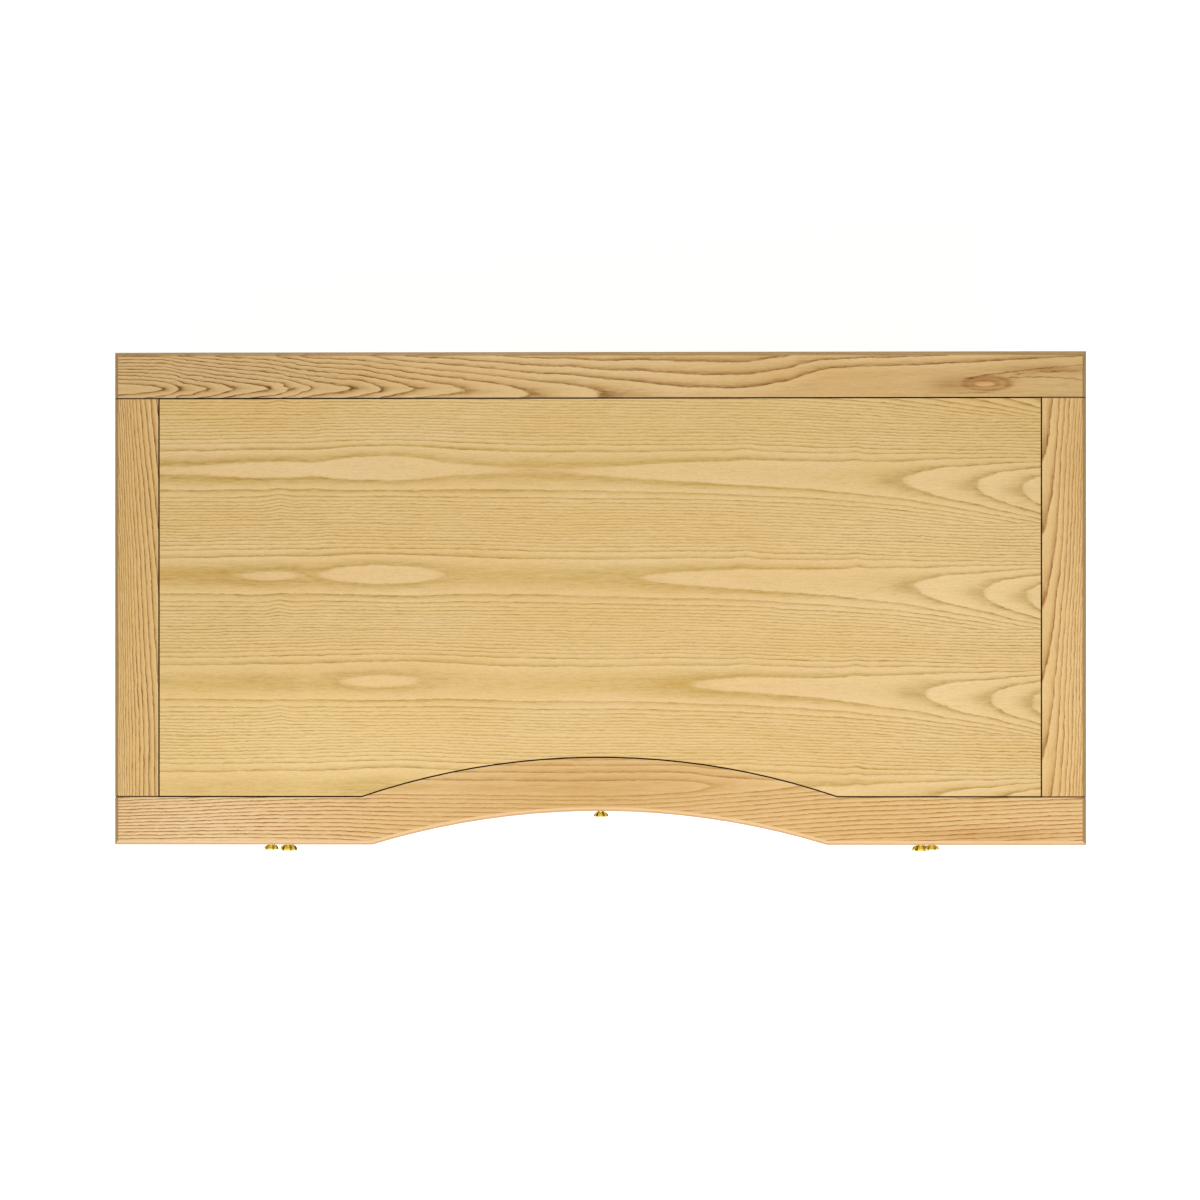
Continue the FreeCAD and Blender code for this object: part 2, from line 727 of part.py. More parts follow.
kneehole_rail = new_body("kneehole_rail")
kneehole_back = kneehole_radius + flat_rail_depth
raise_outline(kneehole_rail, [
    (-inner_face, on_arc(kneehole_radius, inner_face)),
    (inner_face, on_arc(kneehole_radius, inner_face)),
    (inner_face, on_arc(kneehole_back, inner_face)),
    (-inner_face, on_arc(kneehole_back, inner_face)),
], {0: (kneehole_radius, -1), 2: (kneehole_back, 1)}, (front_top_low, top_under))
leg_axis = leg_front + leg_size / 2
kneehole_tenon_y = (leg_axis - kneehole_tenon_width / 2, leg_axis + kneehole_tenon_width / 2)
kneehole_tenon_z = (front_top_low + tenon_shoulder, top_under - tenon_shoulder)
add(kneehole_rail, (inner_face - 1, inner_face + kneehole_tenon), kneehole_tenon_y, kneehole_tenon_z)
add(kneehole_rail, (-inner_face - kneehole_tenon, 1 - inner_face), kneehole_tenon_y, kneehole_tenon_z)
mortise("front_inner", (inner_face - 1, inner_face + kneehole_tenon), kneehole_tenon_y, kneehole_tenon_z)
screw_holes(kneehole_rail, lambda x, y: abs(x) < inner_face.value and y < 0)
keep(kneehole_rail)

modesty_low = (modesty_clearance, modesty_clearance + frame_rail_height)
modesty_rails = []
for label, z, slot_z in (
    ("modesty_top_rail", high_z, (frame_rail_high - 1, frame_rail_high + groove_reach)),
    ("modesty_bottom_rail", modesty_low, (modesty_low[1] - groove_reach, modesty_low[1] + 1)),
):
    rail = new_body(label)
    add(rail, (-inner_face, inner_face), back_y, z)
    modesty_tenon_y = (back_y[0] + tenon_shoulder, back_y[1] - tenon_shoulder)
    modesty_tenon_z = (z[0] + haunch, z[1] - haunch)
    add(rail, (-inner_face - tenon_length, inner_face + tenon_length), modesty_tenon_y, modesty_tenon_z)
    mortise("back_inner", (inner_face, inner_face + tenon_length), modesty_tenon_y, modesty_tenon_z)
    cut(rail, grown((-inner_face, inner_face), 1), panel_slot_y, slot_z)
    modesty_rails.append(rail)
screw_holes(modesty_rails[0], lambda x, y: abs(x) < inner_face.value and y > 0)
for x, y in screw_places:
    if abs(x.value) < inner_face.value and y.value > 0:
        round_post(modesty_rails[0], "Subtractive", counterbore_diameter, x, y,
                   (frame_rail_high - 1, screw_seat))
keep(group("modesty_rails", modesty_rails))

modesty_panel = new_body("modesty_panel")
add(modesty_panel, (-inner_face - panel_tongue, inner_face + panel_tongue),
    grown(panel_slot_y, -joint_clearance), (modesty_low[1] - panel_tongue, frame_rail_high + panel_tongue))
keep(modesty_panel)

centre_runner = new_body("centre_runner_right")
centre_runner_x = (inner_face - runner_reach, inner_face)
centre_tongue_x = (inner_face, inner_face + housing_depth)
centre_tongue_y = (rail_front - runner_tongue, runner_y[1])
add(centre_runner, centre_runner_x, centre_runner_y, runner_z)
add(centre_runner, centre_tongue_x, centre_tongue_y, runner_z)
mortise("front_inner", centre_tongue_x, (centre_tongue_y[0], rail_front + 1), runner_z)
mortise("back_inner", centre_tongue_x, (rail_back - 1, runner_y[1]), runner_z)
keep(group("centre_runners", [centre_runner, mirror_of(centre_runner, "centre_runner_left")]))

# Legs, tapered below the frame, with all mortises, grooves and glide holes

legs = []
glides = []
slot_z = (frame_rail_low - groove_reach, frame_rail_high + groove_reach)
for name in ("front_inner", "front_outer", "back_inner", "back_outer"):
    leg = new_body("right_" + name + "_leg")
    if name.endswith("inner"):
        leg_x = (inner_face, opening_inner)
        foot_x = (inner_face, inner_face + foot_size)
        side_slot = slots_x["inner"]
    else:
        leg_x = (opening_outer, outer_face)
        foot_x = (outer_face - foot_size, outer_face)
        side_slot = slots_x["outer"]
    if name.startswith("front"):
        leg_y = (leg_front, rail_front)
        foot_y = (leg_front, leg_front + foot_size)
        side_slot_y = (rail_front - groove_reach, rail_front + 1)
    else:
        leg_y = (rail_back, leg_back)
        foot_y = (leg_back - foot_size, leg_back)
        side_slot_y = (rail_back - 1, rail_back + groove_reach)
    add(leg, leg_x, leg_y, (floor_clearance, top_under))
    taper = wedge(leg, "Additive", foot_x, (-foot_y[1], -foot_y[0]), leg_x, (-leg_y[1], -leg_y[0]),
                  (glide_height, floor_clearance))
    taper.Placement = FreeCAD.Placement(FreeCAD.Vector(0, 0, 0),
                                        FreeCAD.Rotation(FreeCAD.Vector(1, 0, 0), 90))
    ease(leg, leg_chamfer, lambda box: box.ZLength > 50)
    cut(leg, side_slot, side_slot_y, slot_z)
    if name.startswith("back"):
        if name == "back_inner":
            cut(leg, (opening_inner - groove_reach, opening_inner + 1), panel_slot_y, slot_z)
            cut(leg, (inner_face - 1, inner_face + groove_reach), panel_slot_y,
                (modesty_low[1] - groove_reach, frame_rail_high + groove_reach))
        else:
            cut(leg, (opening_outer - 1, opening_outer + groove_reach), panel_slot_y, slot_z)
    for x, y, z in mortises[name]:
        cut(leg, x, y, z)
    foot_centre = ((foot_x[0] + foot_x[1]) / 2, (foot_y[0] + foot_y[1]) / 2)
    pin_top = glide_height + glide_pin_length
    round_post(leg, "Subtractive", glide_pin_diameter + joint_clearance * 2, foot_centre[0], foot_centre[1],
               (glide_height - 1, pin_top + joint_clearance))
    legs.append(leg)
    glide = new_body("right_" + name + "_glide")
    round_post(glide, "Additive", glide_diameter, foot_centre[0], foot_centre[1], (length(0), glide_height))
    round_post(glide, "Additive", glide_pin_diameter, foot_centre[0], foot_centre[1],
               (glide_height - 1, pin_top))
    glides.append(glide)
keep_pair(group("right_legs", legs))
right_glides = group("right_glides", glides)
keep(group("leg_glides", [right_glides, mirror_of(right_glides, "left_glides")]))


# Drawers

def knob(label, diameter, reach, x, y, z):
    turned = new_body(label)
    neck = diameter * 0.24
    base = diameter * 0.34
    rim = diameter * 0.06
    head = diameter / 2
    dome = diameter * 0.26
    neck_end = reach - rim - dome
    stud = knob_stud_diameter / 2
    corners = [
        (0, knob_stud_length),
        (stud, knob_stud_length),
        (stud, 0),
        (base, 0),
        (base, -diameter * 0.07),
        (neck, -diameter * 0.16),
        (neck, -neck_end),
        (head, rim - reach),
        (head, 1 - reach),
        (head - 1, -reach),
        (0, -reach),
    ]
    revolution = turned.newObject("PartDesign::Revolution", "Turned")
    revolution.Profile = outline(turned, corners, {6: (dome, -1)})
    revolution.ReferenceAxis = (revolution.Profile[0], ["V_Axis"])
    revolution.Angle = 360
    turned.Tip = revolution
    place_at(turned, x, y, z)
    return turned


def box_side(label, x, y, z, back_wall_y, runner_slot):
    # The right-hand side of a drawer box, grooved for the bottom, the back and the runner
    side = new_body(label)
    add(side, x, y, z)
    floor_z = (z[0] + drawer_bottom_rise, z[0] + drawer_bottom_rise + drawer_bottom_thickness)
    groove_x = (x[0] - 1, x[0] + drawer_groove_depth + joint_clearance)
    cut(side, groove_x, (y[0] - 30, y[1] + 1), grown(floor_z, joint_clearance))
    cut(side, groove_x, grown(back_wall_y, joint_clearance), (floor_z[1], z[1] + 1))
    if runner_slot:
        slot_depth = runner_reach - drawer_gap + running_clearance
        cut(side, (x[1] - slot_depth, x[1] + 1), (runner_slot, y[1] + 1), grown(runner_z, running_clearance))
    return side


def box_back(label, centre, inner_half, y, z):
    back = new_body(label)
    reach = inner_half + drawer_groove_depth
    add(back, (centre - reach, centre + reach), y,
        (z[0] + drawer_bottom_rise + drawer_bottom_thickness, z[1] - drawer_groove_depth))
    return back


def straight_drawer(label, centre, opening, box_width, side_z, depth, tails, knob_z, knob_diameter,
                    knob_reach, runner_slot):
    face = leg_front
    shoulder = face + drawer_front_thickness
    front_x = (centre - opening_width / 2 + drawer_gap, centre + opening_width / 2 - drawer_gap)
    front_z = (opening[0] + drawer_gap, opening[1] - drawer_gap)
    half = box_width / 2
    inner_half = half - drawer_side_thickness
    side_x = (centre + inner_half, centre + half)
    side_y = (shoulder, face + depth)
    back_wall_y = (side_y[1] - drawer_back_inset - drawer_back_thickness, side_y[1] - drawer_back_inset)

    front = new_body(label + "_front")
    add(front, front_x, (face, shoulder), front_z)
    ease(front, drawer_front_chamfer, lambda box: near(box.YMin, face.value) and near(box.YMax, face.value))
    side = box_side(label + "_right_side", side_x, side_y, side_z, back_wall_y, runner_slot)

    floor_z = (side_z[0] + drawer_bottom_rise, side_z[0] + drawer_bottom_rise + drawer_bottom_thickness)
    lap = (shoulder - tail_length, shoulder)
    socket_lap = (shoulder - tail_length - joint_clearance, shoulder + joint_clearance)
    if tails:
        # Half-blind dovetails
        pitch = (side_z[1] - side_z[0]) / tails
        for number in range(tails):
            middle = side_z[0] + pitch * (number + 0.5)
            wide = pitch * tail_share / 2
            narrow = wide - tail_taper
            wedge(side, "Additive", side_x, (middle - wide, middle + wide), side_x,
                  (middle - narrow, middle + narrow), lap)
            for socket_x in (grown(side_x, joint_clearance),
                             grown(mirrored_span(side_x, centre), joint_clearance)):
                wedge(front, "Subtractive", socket_x,
                      grown((middle - wide, middle + wide), joint_clearance), socket_x,
                      grown((middle - narrow, middle + narrow), joint_clearance), socket_lap)
    else:
        # One upright sliding dovetail
        middle = centre + (inner_half + half) / 2
        wide = (middle - dovetail_width / 2, middle + dovetail_width / 2)
        narrow = (middle - dovetail_neck / 2, middle + dovetail_neck / 2)
        dovetail_z = (floor_z[1] + side_housing, side_z[1] - side_housing)
        wedge(side, "Additive", wide, dovetail_z, narrow, dovetail_z, lap)
        for socket_wide, socket_narrow in ((wide, narrow),
                                           (mirrored_span(wide, centre), mirrored_span(narrow, centre))):
            wedge(front, "Subtractive",
                  grown(socket_wide, joint_clearance), grown(dovetail_z, joint_clearance),
                  grown(socket_narrow, joint_clearance), grown(dovetail_z, joint_clearance), socket_lap)
    cut(front, (centre - inner_half, centre + inner_half),
        (shoulder - drawer_groove_depth - joint_clearance, shoulder + 1), grown(floor_z, joint_clearance))
    pilot = front.newObject("PartDesign::SubtractiveCylinder", "Pilot")
    bind(pilot, "Radius", knob_stud_diameter / 2 + joint_clearance)
    bind(pilot, "Height", knob_stud_length + 2)
    pilot.Placement = FreeCAD.Placement(FreeCAD.Vector(0, 0, 0),
                                        FreeCAD.Rotation(FreeCAD.Vector(1, 0, 0), -90))
    place_at(pilot, centre, face - 1, knob_z)

    bottom = new_body(label + "_bottom")
    add(bottom, (centre - inner_half - drawer_groove_depth, centre + inner_half + drawer_groove_depth),
        (shoulder + joint_clearance, side_y[1] - 2), floor_z)
    add(bottom, (centre - inner_half + joint_clearance, centre + inner_half - joint_clearance),
        (shoulder - drawer_groove_depth, shoulder + 5), floor_z)

    keep_pair(front)
    keep_pair(group(label + "_sides", [side, mirror_of(side, label + "_left_side", centre)]))
    keep_pair(box_back(label + "_back", centre, inner_half, back_wall_y, side_z))
    keep_pair(bottom)
    keep_pair(knob(label + "_knob", knob_diameter, knob_reach, centre, face, knob_z))


top_opening = (top_opening_low, front_top_low)
top_side_z = (top_opening_low + drawer_gap + drawer_side_lift, front_top_low - drawer_gap - drawer_side_drop)
runner_slot = runner_y[0] - 1
straight_drawer("right_top_drawer", pedestal_centre, top_opening, opening_width - drawer_gap * 2, top_side_z,
                top_drawer_depth, 3, (top_opening_low + front_top_low) / 2, small_knob_diameter,
                small_knob_reach, runner_slot)

file_opening = (file_opening_low, file_opening_high)
file_side_low = file_opening_low + drawer_gap + drawer_side_lift
straight_drawer("right_file_drawer", pedestal_centre, file_opening, opening_width - slide_thickness * 2,
                (file_side_low, file_side_low + file_side_height), file_drawer_depth, 0,
                file_opening_low + file_knob_lift, large_knob_diameter, large_knob_reach, None)

# Telescopic slides: three nested channels on each side of a file drawer


def channel(label, web_x, flange_x, half_height, y):
    bar = new_body(label)
    add(bar, web_x, y, (slide_middle - half_height, slide_middle + half_height))
    add(bar, flange_x, y, (slide_middle - half_height, slide_middle - half_height + slide_gauge))
    add(bar, flange_x, y, (slide_middle + half_height - slide_gauge, slide_middle + half_height))
    return bar


slide_y = (leg_front + slide_start, leg_front + slide_start + slide_length)
outer_half = slide_height / 2
middle_half = outer_half - slide_gauge - slide_clearance
inner_half_height = middle_half - slide_gauge - slide_clearance
slide_face = opening_inner + slide_thickness
middle_web = opening_inner + slide_gauge + slide_clearance
for part_name, web_x, flange_x, half_height, y in (
    ("fixed", (opening_inner, opening_inner + slide_gauge),
     (opening_inner, slide_face - slide_fixed_lip), outer_half, slide_y),
    ("middle", (middle_web, middle_web + slide_gauge),
     (middle_web, slide_face - slide_middle_lip), middle_half, grown(slide_y, -slide_middle_margin)),
    ("moving", (slide_face - slide_gauge, slide_face),
     (middle_web + slide_gauge + slide_clearance, slide_face), inner_half_height, slide_y),
):
    bar = channel("right_file_slide_" + part_name + "_inner", web_x, flange_x, half_height, y)
    twin = mirror_of(bar, "right_file_slide_" + part_name + "_outer", pedestal_centre)
    keep_pair(group("right_file_slide_" + part_name, [bar, twin]))

# Centre drawer with a front that follows the concave edge

def arc_plate(half, radius, back):
    return [
        (-half, on_arc(radius, half)),
        (half, on_arc(radius, half)),
        (half, back),
        (-half, back),
    ]


centre_front = new_body("centre_drawer_front")
raise_outline(centre_front, [
    (-front_half, on_arc(face_radius, front_half)),
    (front_half, on_arc(face_radius, front_half)),
    (front_half, on_arc(rear_radius, front_half)),
    (-front_half, on_arc(rear_radius, front_half)),
], {0: (face_radius, -1), 2: (rear_radius, 1)}, centre_front_z)
face_edge_y = on_arc(face_radius, front_half)
ease(centre_front, drawer_front_chamfer, lambda box: (
    (near(box.YMin, face_edge_y.value) and near(box.YMax, face_apex.value))
    or (near(box.YMin, face_edge_y.value) and near(box.YMax, face_edge_y.value) and box.ZLength > 20)))
groove_arc = groove_radius - joint_clearance
sink_outline(centre_front, arc_plate(box_inner, groove_arc, edge_centre + rear_radius + 5),
             {0: (groove_arc, -1)}, grown(centre_floor_z, joint_clearance))
cut(centre_front, grown(housing_x, joint_clearance), grown(housing_y, joint_clearance),
    grown(housing_z, joint_clearance))
cut(centre_front, grown(mirrored_span(housing_x, length(0)), joint_clearance),
    grown(housing_y, joint_clearance), grown(housing_z, joint_clearance))
centre_pilot = centre_front.newObject("PartDesign::SubtractiveCylinder", "Pilot")
bind(centre_pilot, "Radius", knob_stud_diameter / 2 + joint_clearance)
bind(centre_pilot, "Height", knob_stud_length + 2)
centre_pilot.Placement = FreeCAD.Placement(FreeCAD.Vector(0, 0, 0),
                                           FreeCAD.Rotation(FreeCAD.Vector(1, 0, 0), -90))
place_at(centre_pilot, 0, face_apex - 1, centre_knob_z)
keep(centre_front)

centre_side_x = (box_inner, front_half)
centre_side_y = (on_arc(face_radius, front_half), centre_end)
centre_side = box_side("centre_drawer_right_side", centre_side_x, centre_side_y,
                       centre_side_z, centre_back_y, centre_runner_y[0] - 1)
trim = centre_side.newObject("PartDesign::SubtractiveCylinder", "Trim")
bind(trim, "Radius", rear_radius)
bind(trim, "Height", centre_side_z[1] - centre_side_z[0] + 2)
place_at(trim, 0, edge_centre, centre_side_z[0] - 1)
add(centre_side, housing_x, housing_y, housing_z)
keep(group("centre_drawer_sides", [centre_side, mirror_of(centre_side, "centre_drawer_left_side")]))
keep(box_back("centre_drawer_back", length(0), box_inner, centre_back_y, centre_side_z))

centre_bottom = new_body("centre_drawer_bottom")
bottom_arc = rear_radius + joint_clearance
raise_outline(centre_bottom, arc_plate(box_inner + drawer_groove_depth, bottom_arc, centre_end - 2),
              {0: (bottom_arc, -1)}, centre_floor_z)
raise_outline(centre_bottom, arc_plate(box_inner - joint_clearance, groove_radius, centre_end - 2),
              {0: (groove_radius, -1)}, centre_floor_z)
keep(centre_bottom)
keep(knob("centre_drawer_knob", small_knob_diameter, small_knob_reach, 0, centre_knob_seat, centre_knob_z))

# Checks and export

doc.recompute()
for item in doc.Objects:
    if "Invalid" in item.State or "Error" in item.State:
        raise RuntimeError(item.Label + " did not build: " + str(item.State))
for item in nodes:
    if item.Shape.isNull() or not item.Shape.isValid():
        raise RuntimeError(item.Label + " has no valid shape")
os.makedirs("parts", exist_ok=True)
for item in nodes:
    item.Shape.exportStep("parts/" + item.Label + ".step")
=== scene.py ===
from math import radians

import bpy
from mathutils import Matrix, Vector


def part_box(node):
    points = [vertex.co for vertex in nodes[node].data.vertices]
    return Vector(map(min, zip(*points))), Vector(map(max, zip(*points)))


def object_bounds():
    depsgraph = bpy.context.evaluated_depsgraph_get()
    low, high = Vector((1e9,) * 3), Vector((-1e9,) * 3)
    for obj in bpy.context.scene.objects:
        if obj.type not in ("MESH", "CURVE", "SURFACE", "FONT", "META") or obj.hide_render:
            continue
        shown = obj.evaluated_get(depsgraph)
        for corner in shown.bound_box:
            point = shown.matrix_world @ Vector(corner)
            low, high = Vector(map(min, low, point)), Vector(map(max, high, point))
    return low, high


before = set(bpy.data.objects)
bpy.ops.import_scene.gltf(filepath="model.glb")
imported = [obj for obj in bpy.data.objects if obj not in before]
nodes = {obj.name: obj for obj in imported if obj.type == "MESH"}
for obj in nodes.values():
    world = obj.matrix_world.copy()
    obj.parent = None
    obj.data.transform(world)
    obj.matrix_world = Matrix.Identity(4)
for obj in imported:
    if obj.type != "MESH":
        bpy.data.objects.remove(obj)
cadLow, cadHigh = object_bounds()
mmPerMetre = 1000


# numbers that vary over a surface, made of Math nodes

class Field:
    def __init__(self, tree, socket):
        self.tree = tree
        self.socket = socket

    def math(self, operation, *others):
        node = self.tree.nodes.new("ShaderNodeMath")
        node.operation = operation
        for socket, value in zip(node.inputs, (self, *others)):
            plug(self.tree, socket, value)
        return Field(self.tree, node.outputs[0])

    def __add__(self, other):
        return self.math("ADD", other)

    def __sub__(self, other):
        return self.math("SUBTRACT", other)

    def __mul__(self, other):
        return self.math("MULTIPLY", other)

    def __truediv__(self, other):
        return self.math("DIVIDE", other)

    def squared(self):
        return self * self

    def root(self):
        return self.math("SQRT")

    def size(self):
        return self.math("ABSOLUTE")

    def fraction(self):
        return self.math("FRACT")

    def floor(self):
        return self.math("FLOOR")

    def clipped(self):
        return self.math("MINIMUM", 1).math("MAXIMUM", 0)

    def bell(self):  # 1 where the field is 0, fading to both sides
        return (self.squared() * -1).math("EXPONENT")


def plug(tree, socket, value):
    if isinstance(value, Field):
        tree.links.new(value.socket, socket)
    else:
        socket.default_value = value


def tone(red, green, blue):  # colours are written as they look on screen, 0 to 255
    def linear(value):
        share = value / 255
        return share / 12.92 if share <= 0.04045 else ((share + 0.055) / 1.055) ** 2.4
    return (linear(red), linear(green), linear(blue), 1)


def grey(value):
    return (value, value, value, 1)


def startMaterial(name):
    material = bpy.data.materials.new(name)
    material.use_nodes = True
    tree = material.node_tree
    tree.nodes.clear()
    output = tree.nodes.new("ShaderNodeOutputMaterial")
    shader = tree.nodes.new("ShaderNodeBsdfPrincipled")
    tree.links.new(shader.outputs["BSDF"], output.inputs["Surface"])
    return material, tree, shader


def millimetres(tree):  # the piece's own coordinates, which stay with it when it slides
    place = tree.nodes.new("ShaderNodeTexCoord")
    scaled = tree.nodes.new("ShaderNodeVectorMath")
    scaled.operation = "SCALE"
    scaled.inputs["Scale"].default_value = mmPerMetre
    tree.links.new(place.outputs["Object"], scaled.inputs[0])
    split = tree.nodes.new("ShaderNodeSeparateXYZ")
    tree.links.new(scaled.outputs[0], split.inputs[0])
    return {axis: Field(tree, split.outputs[axis.upper()]) for axis in "xyz"}


def grainNoise(tree, along, across, depth, seed, detail=2.0):  # 0 to 1, about 0.5
    where = tree.nodes.new("ShaderNodeCombineXYZ")
    for socket, value in zip(where.inputs, (along, across, depth)):
        plug(tree, socket, value)
    noise = tree.nodes.new("ShaderNodeTexNoise")
    noise.noise_dimensions = "4D"
    noise.inputs["Scale"].default_value = 1
    noise.inputs["Detail"].default_value = detail
    noise.inputs["W"].default_value = seed
    tree.links.new(where.outputs[0], noise.inputs["Vector"])
    return Field(tree, noise.outputs["Fac"])


def drawnCurve(tree, value, points):  # a smooth line through (place, height) points
    places = [point[0] for point in points]
    heights = [point[1] for point in points]
    start, span = places[0], places[-1] - places[0]
    low, rise = min(heights), max(heights) - min(heights)
    if rise == 0:
        return value * 0 + low
    scaled = ((value - start) * (1 / span)).clipped()
    node = tree.nodes.new("ShaderNodeFloatCurve")
    curve = node.mapping.curves[0]
    for place, height in points[1:-1]:
        curve.points.new((place - start) / span, (height - low) / rise)
    curve.points[0].location = (0, (heights[0] - low) / rise)
    curve.points[len(points) - 1].location = (1, (heights[-1] - low) / rise)
    for point in curve.points:
        point.handle_type = "AUTO"
    node.mapping.update()
    plug(tree, node.inputs["Value"], scaled)
    return Field(tree, node.outputs[0]) * rise + low


def rampOf(tree, value, stops):
    node = tree.nodes.new("ShaderNodeValToRGB")
    ramp = node.color_ramp.elements
    while len(ramp) > 1:
        ramp.remove(ramp[-1])
    ramp[0].position = stops[0][0]
    ramp[0].color = stops[0][1]
    for position, color in stops[1:]:
        ramp.new(position).color = color
    plug(tree, node.inputs["Fac"], value)
    return node.outputs["Color"]


def mixColor(tree, share, first, second, blend="MIX"):
    node = tree.nodes.new("ShaderNodeMix")
    node.data_type = "RGBA"
    node.blend_type = blend
    plug(tree, node.inputs[0], share)
    for socket, value in zip(node.inputs[6:8], (first, second)):  # the node's two colour sockets
        if hasattr(value, "is_output"):
            tree.links.new(value, socket)
        else:
            socket.default_value = value
    return node.outputs[2]


def colorOf(tree, value):
    node = tree.nodes.new("ShaderNodeCombineColor")
    for socket in node.inputs:
        plug(tree, socket, value)
    return node.outputs["Color"]


wallFacing = {"gain": 4, "offset": -2}  # upright walls only
facetFacing = {"gain": 4, "offset": -1}  # sloped facets too


def facing(tree, axis, way, gain, offset):  # 1 where the surface looks that way, 0 elsewhere
    surface = tree.nodes.new("ShaderNodeNewGeometry")
    split = tree.nodes.new("ShaderNodeSeparateXYZ")
    tree.links.new(surface.outputs["True Normal"], split.inputs[0])
    return (Field(tree, split.outputs[axis]) * (way * gain) + offset).clipped()


def dress(material, *names):
    for name in names:
        nodes[name].data.materials.clear()
        nodes[name].data.materials.append(material)


# ash: growth rings cut by the board's face, drawn as one ring number over the board

ashFigure = {  # what all boards share, with lengths in mm
    "noises": {  # length along the grain, width across it, detail, seed offset
        "drift": (190, 70, 1.0, 0), "ripple": (34, 16, 2.0, 3), "tremble": (11, 5, 2.0, 4),
        "jag": (22, 9, 2.0, 6), "streaks": (55, 2.6, 2.0, 8), "stroke": (12, 5, 2.0, 9),
        "pores": (26, 1.5, 2.0, 11), "fleck": (6, 1.5, 3.0, 13), "cloud": (330, 60, 2.0, 17),
        "spotEdge": (24, 9, 2.0, 19),
    },
    "lines": [  # thin dark line where a ring starts
        (0.0, grey(1.0)), (0.07, grey(0.9)), (0.16, grey(0.45)), (0.3, grey(0.12)),
        (0.5, grey(0.0)), (0.93, grey(0.0)), (0.97, grey(0.4)), (1.0, grey(1.0))],
    "shades": [  # soft shade that fades out over the ring
        (0.0, grey(1.0)), (0.12, grey(0.85)), (0.35, grey(0.5)), (0.65, grey(0.18)),
        (0.9, grey(0.0)), (0.97, grey(0.1)), (1.0, grey(1.0))],
    "ringStrength": {"step": 0.73, "length": 420, "seed": 5},  # from ring to ring, and along each
    "dashes": {"step": 1.7, "length": 19, "width": 4, "seed": 7, "gain": 2.4, "cut": 0.5},
    "roamDepth": 90, "strokeEnd": 14, "spotBend": 6,
    "streakGain": 2.2, "streakCut": 0.4, "shadeBase": 0.25,
    "spotStreaks": 0.8, "spotBase": 0.5, "cloudGain": 1.8,
    "poreGain": 5, "poreShade": 0.5, "poreBase": 0.4,
    "poreRoughness": 0.1, "fleckRoughness": 0.05, "specular": 0.25,
    "relief": {"strength": 0.12, "distance": 0.0003, "pores": 0.7, "lines": 0.3},
}


def softSpot(along, side, spot):  # 1 in the middle of the spot, or on its ring, fading to 0
    reach = ((along - spot["at"][0]) / spot["length"]).squared()
    reach = reach + ((side - spot["at"][1]) / spot["width"]).squared()
    if "ring" in spot:
        reach = ((reach.root() - 1) / spot["ring"]).squared()
    return (reach * -1).math("EXPONENT")


def ringNumbers(tree, board, along, side, depth, swing):
    wander = swing("drift") * board["drift"]
    wander = wander + swing("ripple") * board["ripple"]
    wander = wander + swing("tremble") * board["tremble"]
    heart = drawnCurve(tree, along, board["heart"])
    across = side + wander - heart

    leafRings = None
    if "leaf" in board:  # slip-matched veneer: the same figure again in each leaf
        offset = heart - board["leafBase"]
        leaves = (across + offset) / board["leaf"] + 0.5
        leafRings = leaves.floor() * board["leafStep"]
        across = (leaves.fraction() - 0.5) * board["leaf"] - offset
    for bump in board.get("bumps", ()):  # short kinks that the lines on one side of the heart share
        across = across + softSpot(along, across, bump) * bump["height"]
    if "profile" in board:
        rings = drawnCurve(tree, across, board["profile"])
        if "fan" in board:  # lines closer together towards the ends of the board
            rings = rings * drawnCurve(tree, along, board["fan"])
    else:
        away = across.size()
        if "core" in board:  # plain wood to each side of the heart
            away = (away - drawnCurve(tree, along, board["core"])).math("MAXIMUM", 0)
        flat = board["flat"]
        spacing = drawnCurve(tree, along, board["spacing"])
        rings = ((away.squared() + flat * flat).root() - flat) / spacing
    if leafRings is not None:
        rings = rings + leafRings

    run = along + swing("jag") * board["jag"]
    rings = rings + drawnCurve(tree, run, board["climb"]) + (depth - board["level"]) * board["dip"]
    if "roam" in board:
        seed = board["seed"]
        roam = grainNoise(
            tree, along / board["roamLength"], depth / ashFigure["roamDepth"], seed, detail=1.0, seed=seed)
        rings = rings + (roam - 0.5) * board["roam"]
    fromHeart = ((across.size() - board["calm"]) / board["calmFade"]).clipped()
    return rings, fromHeart


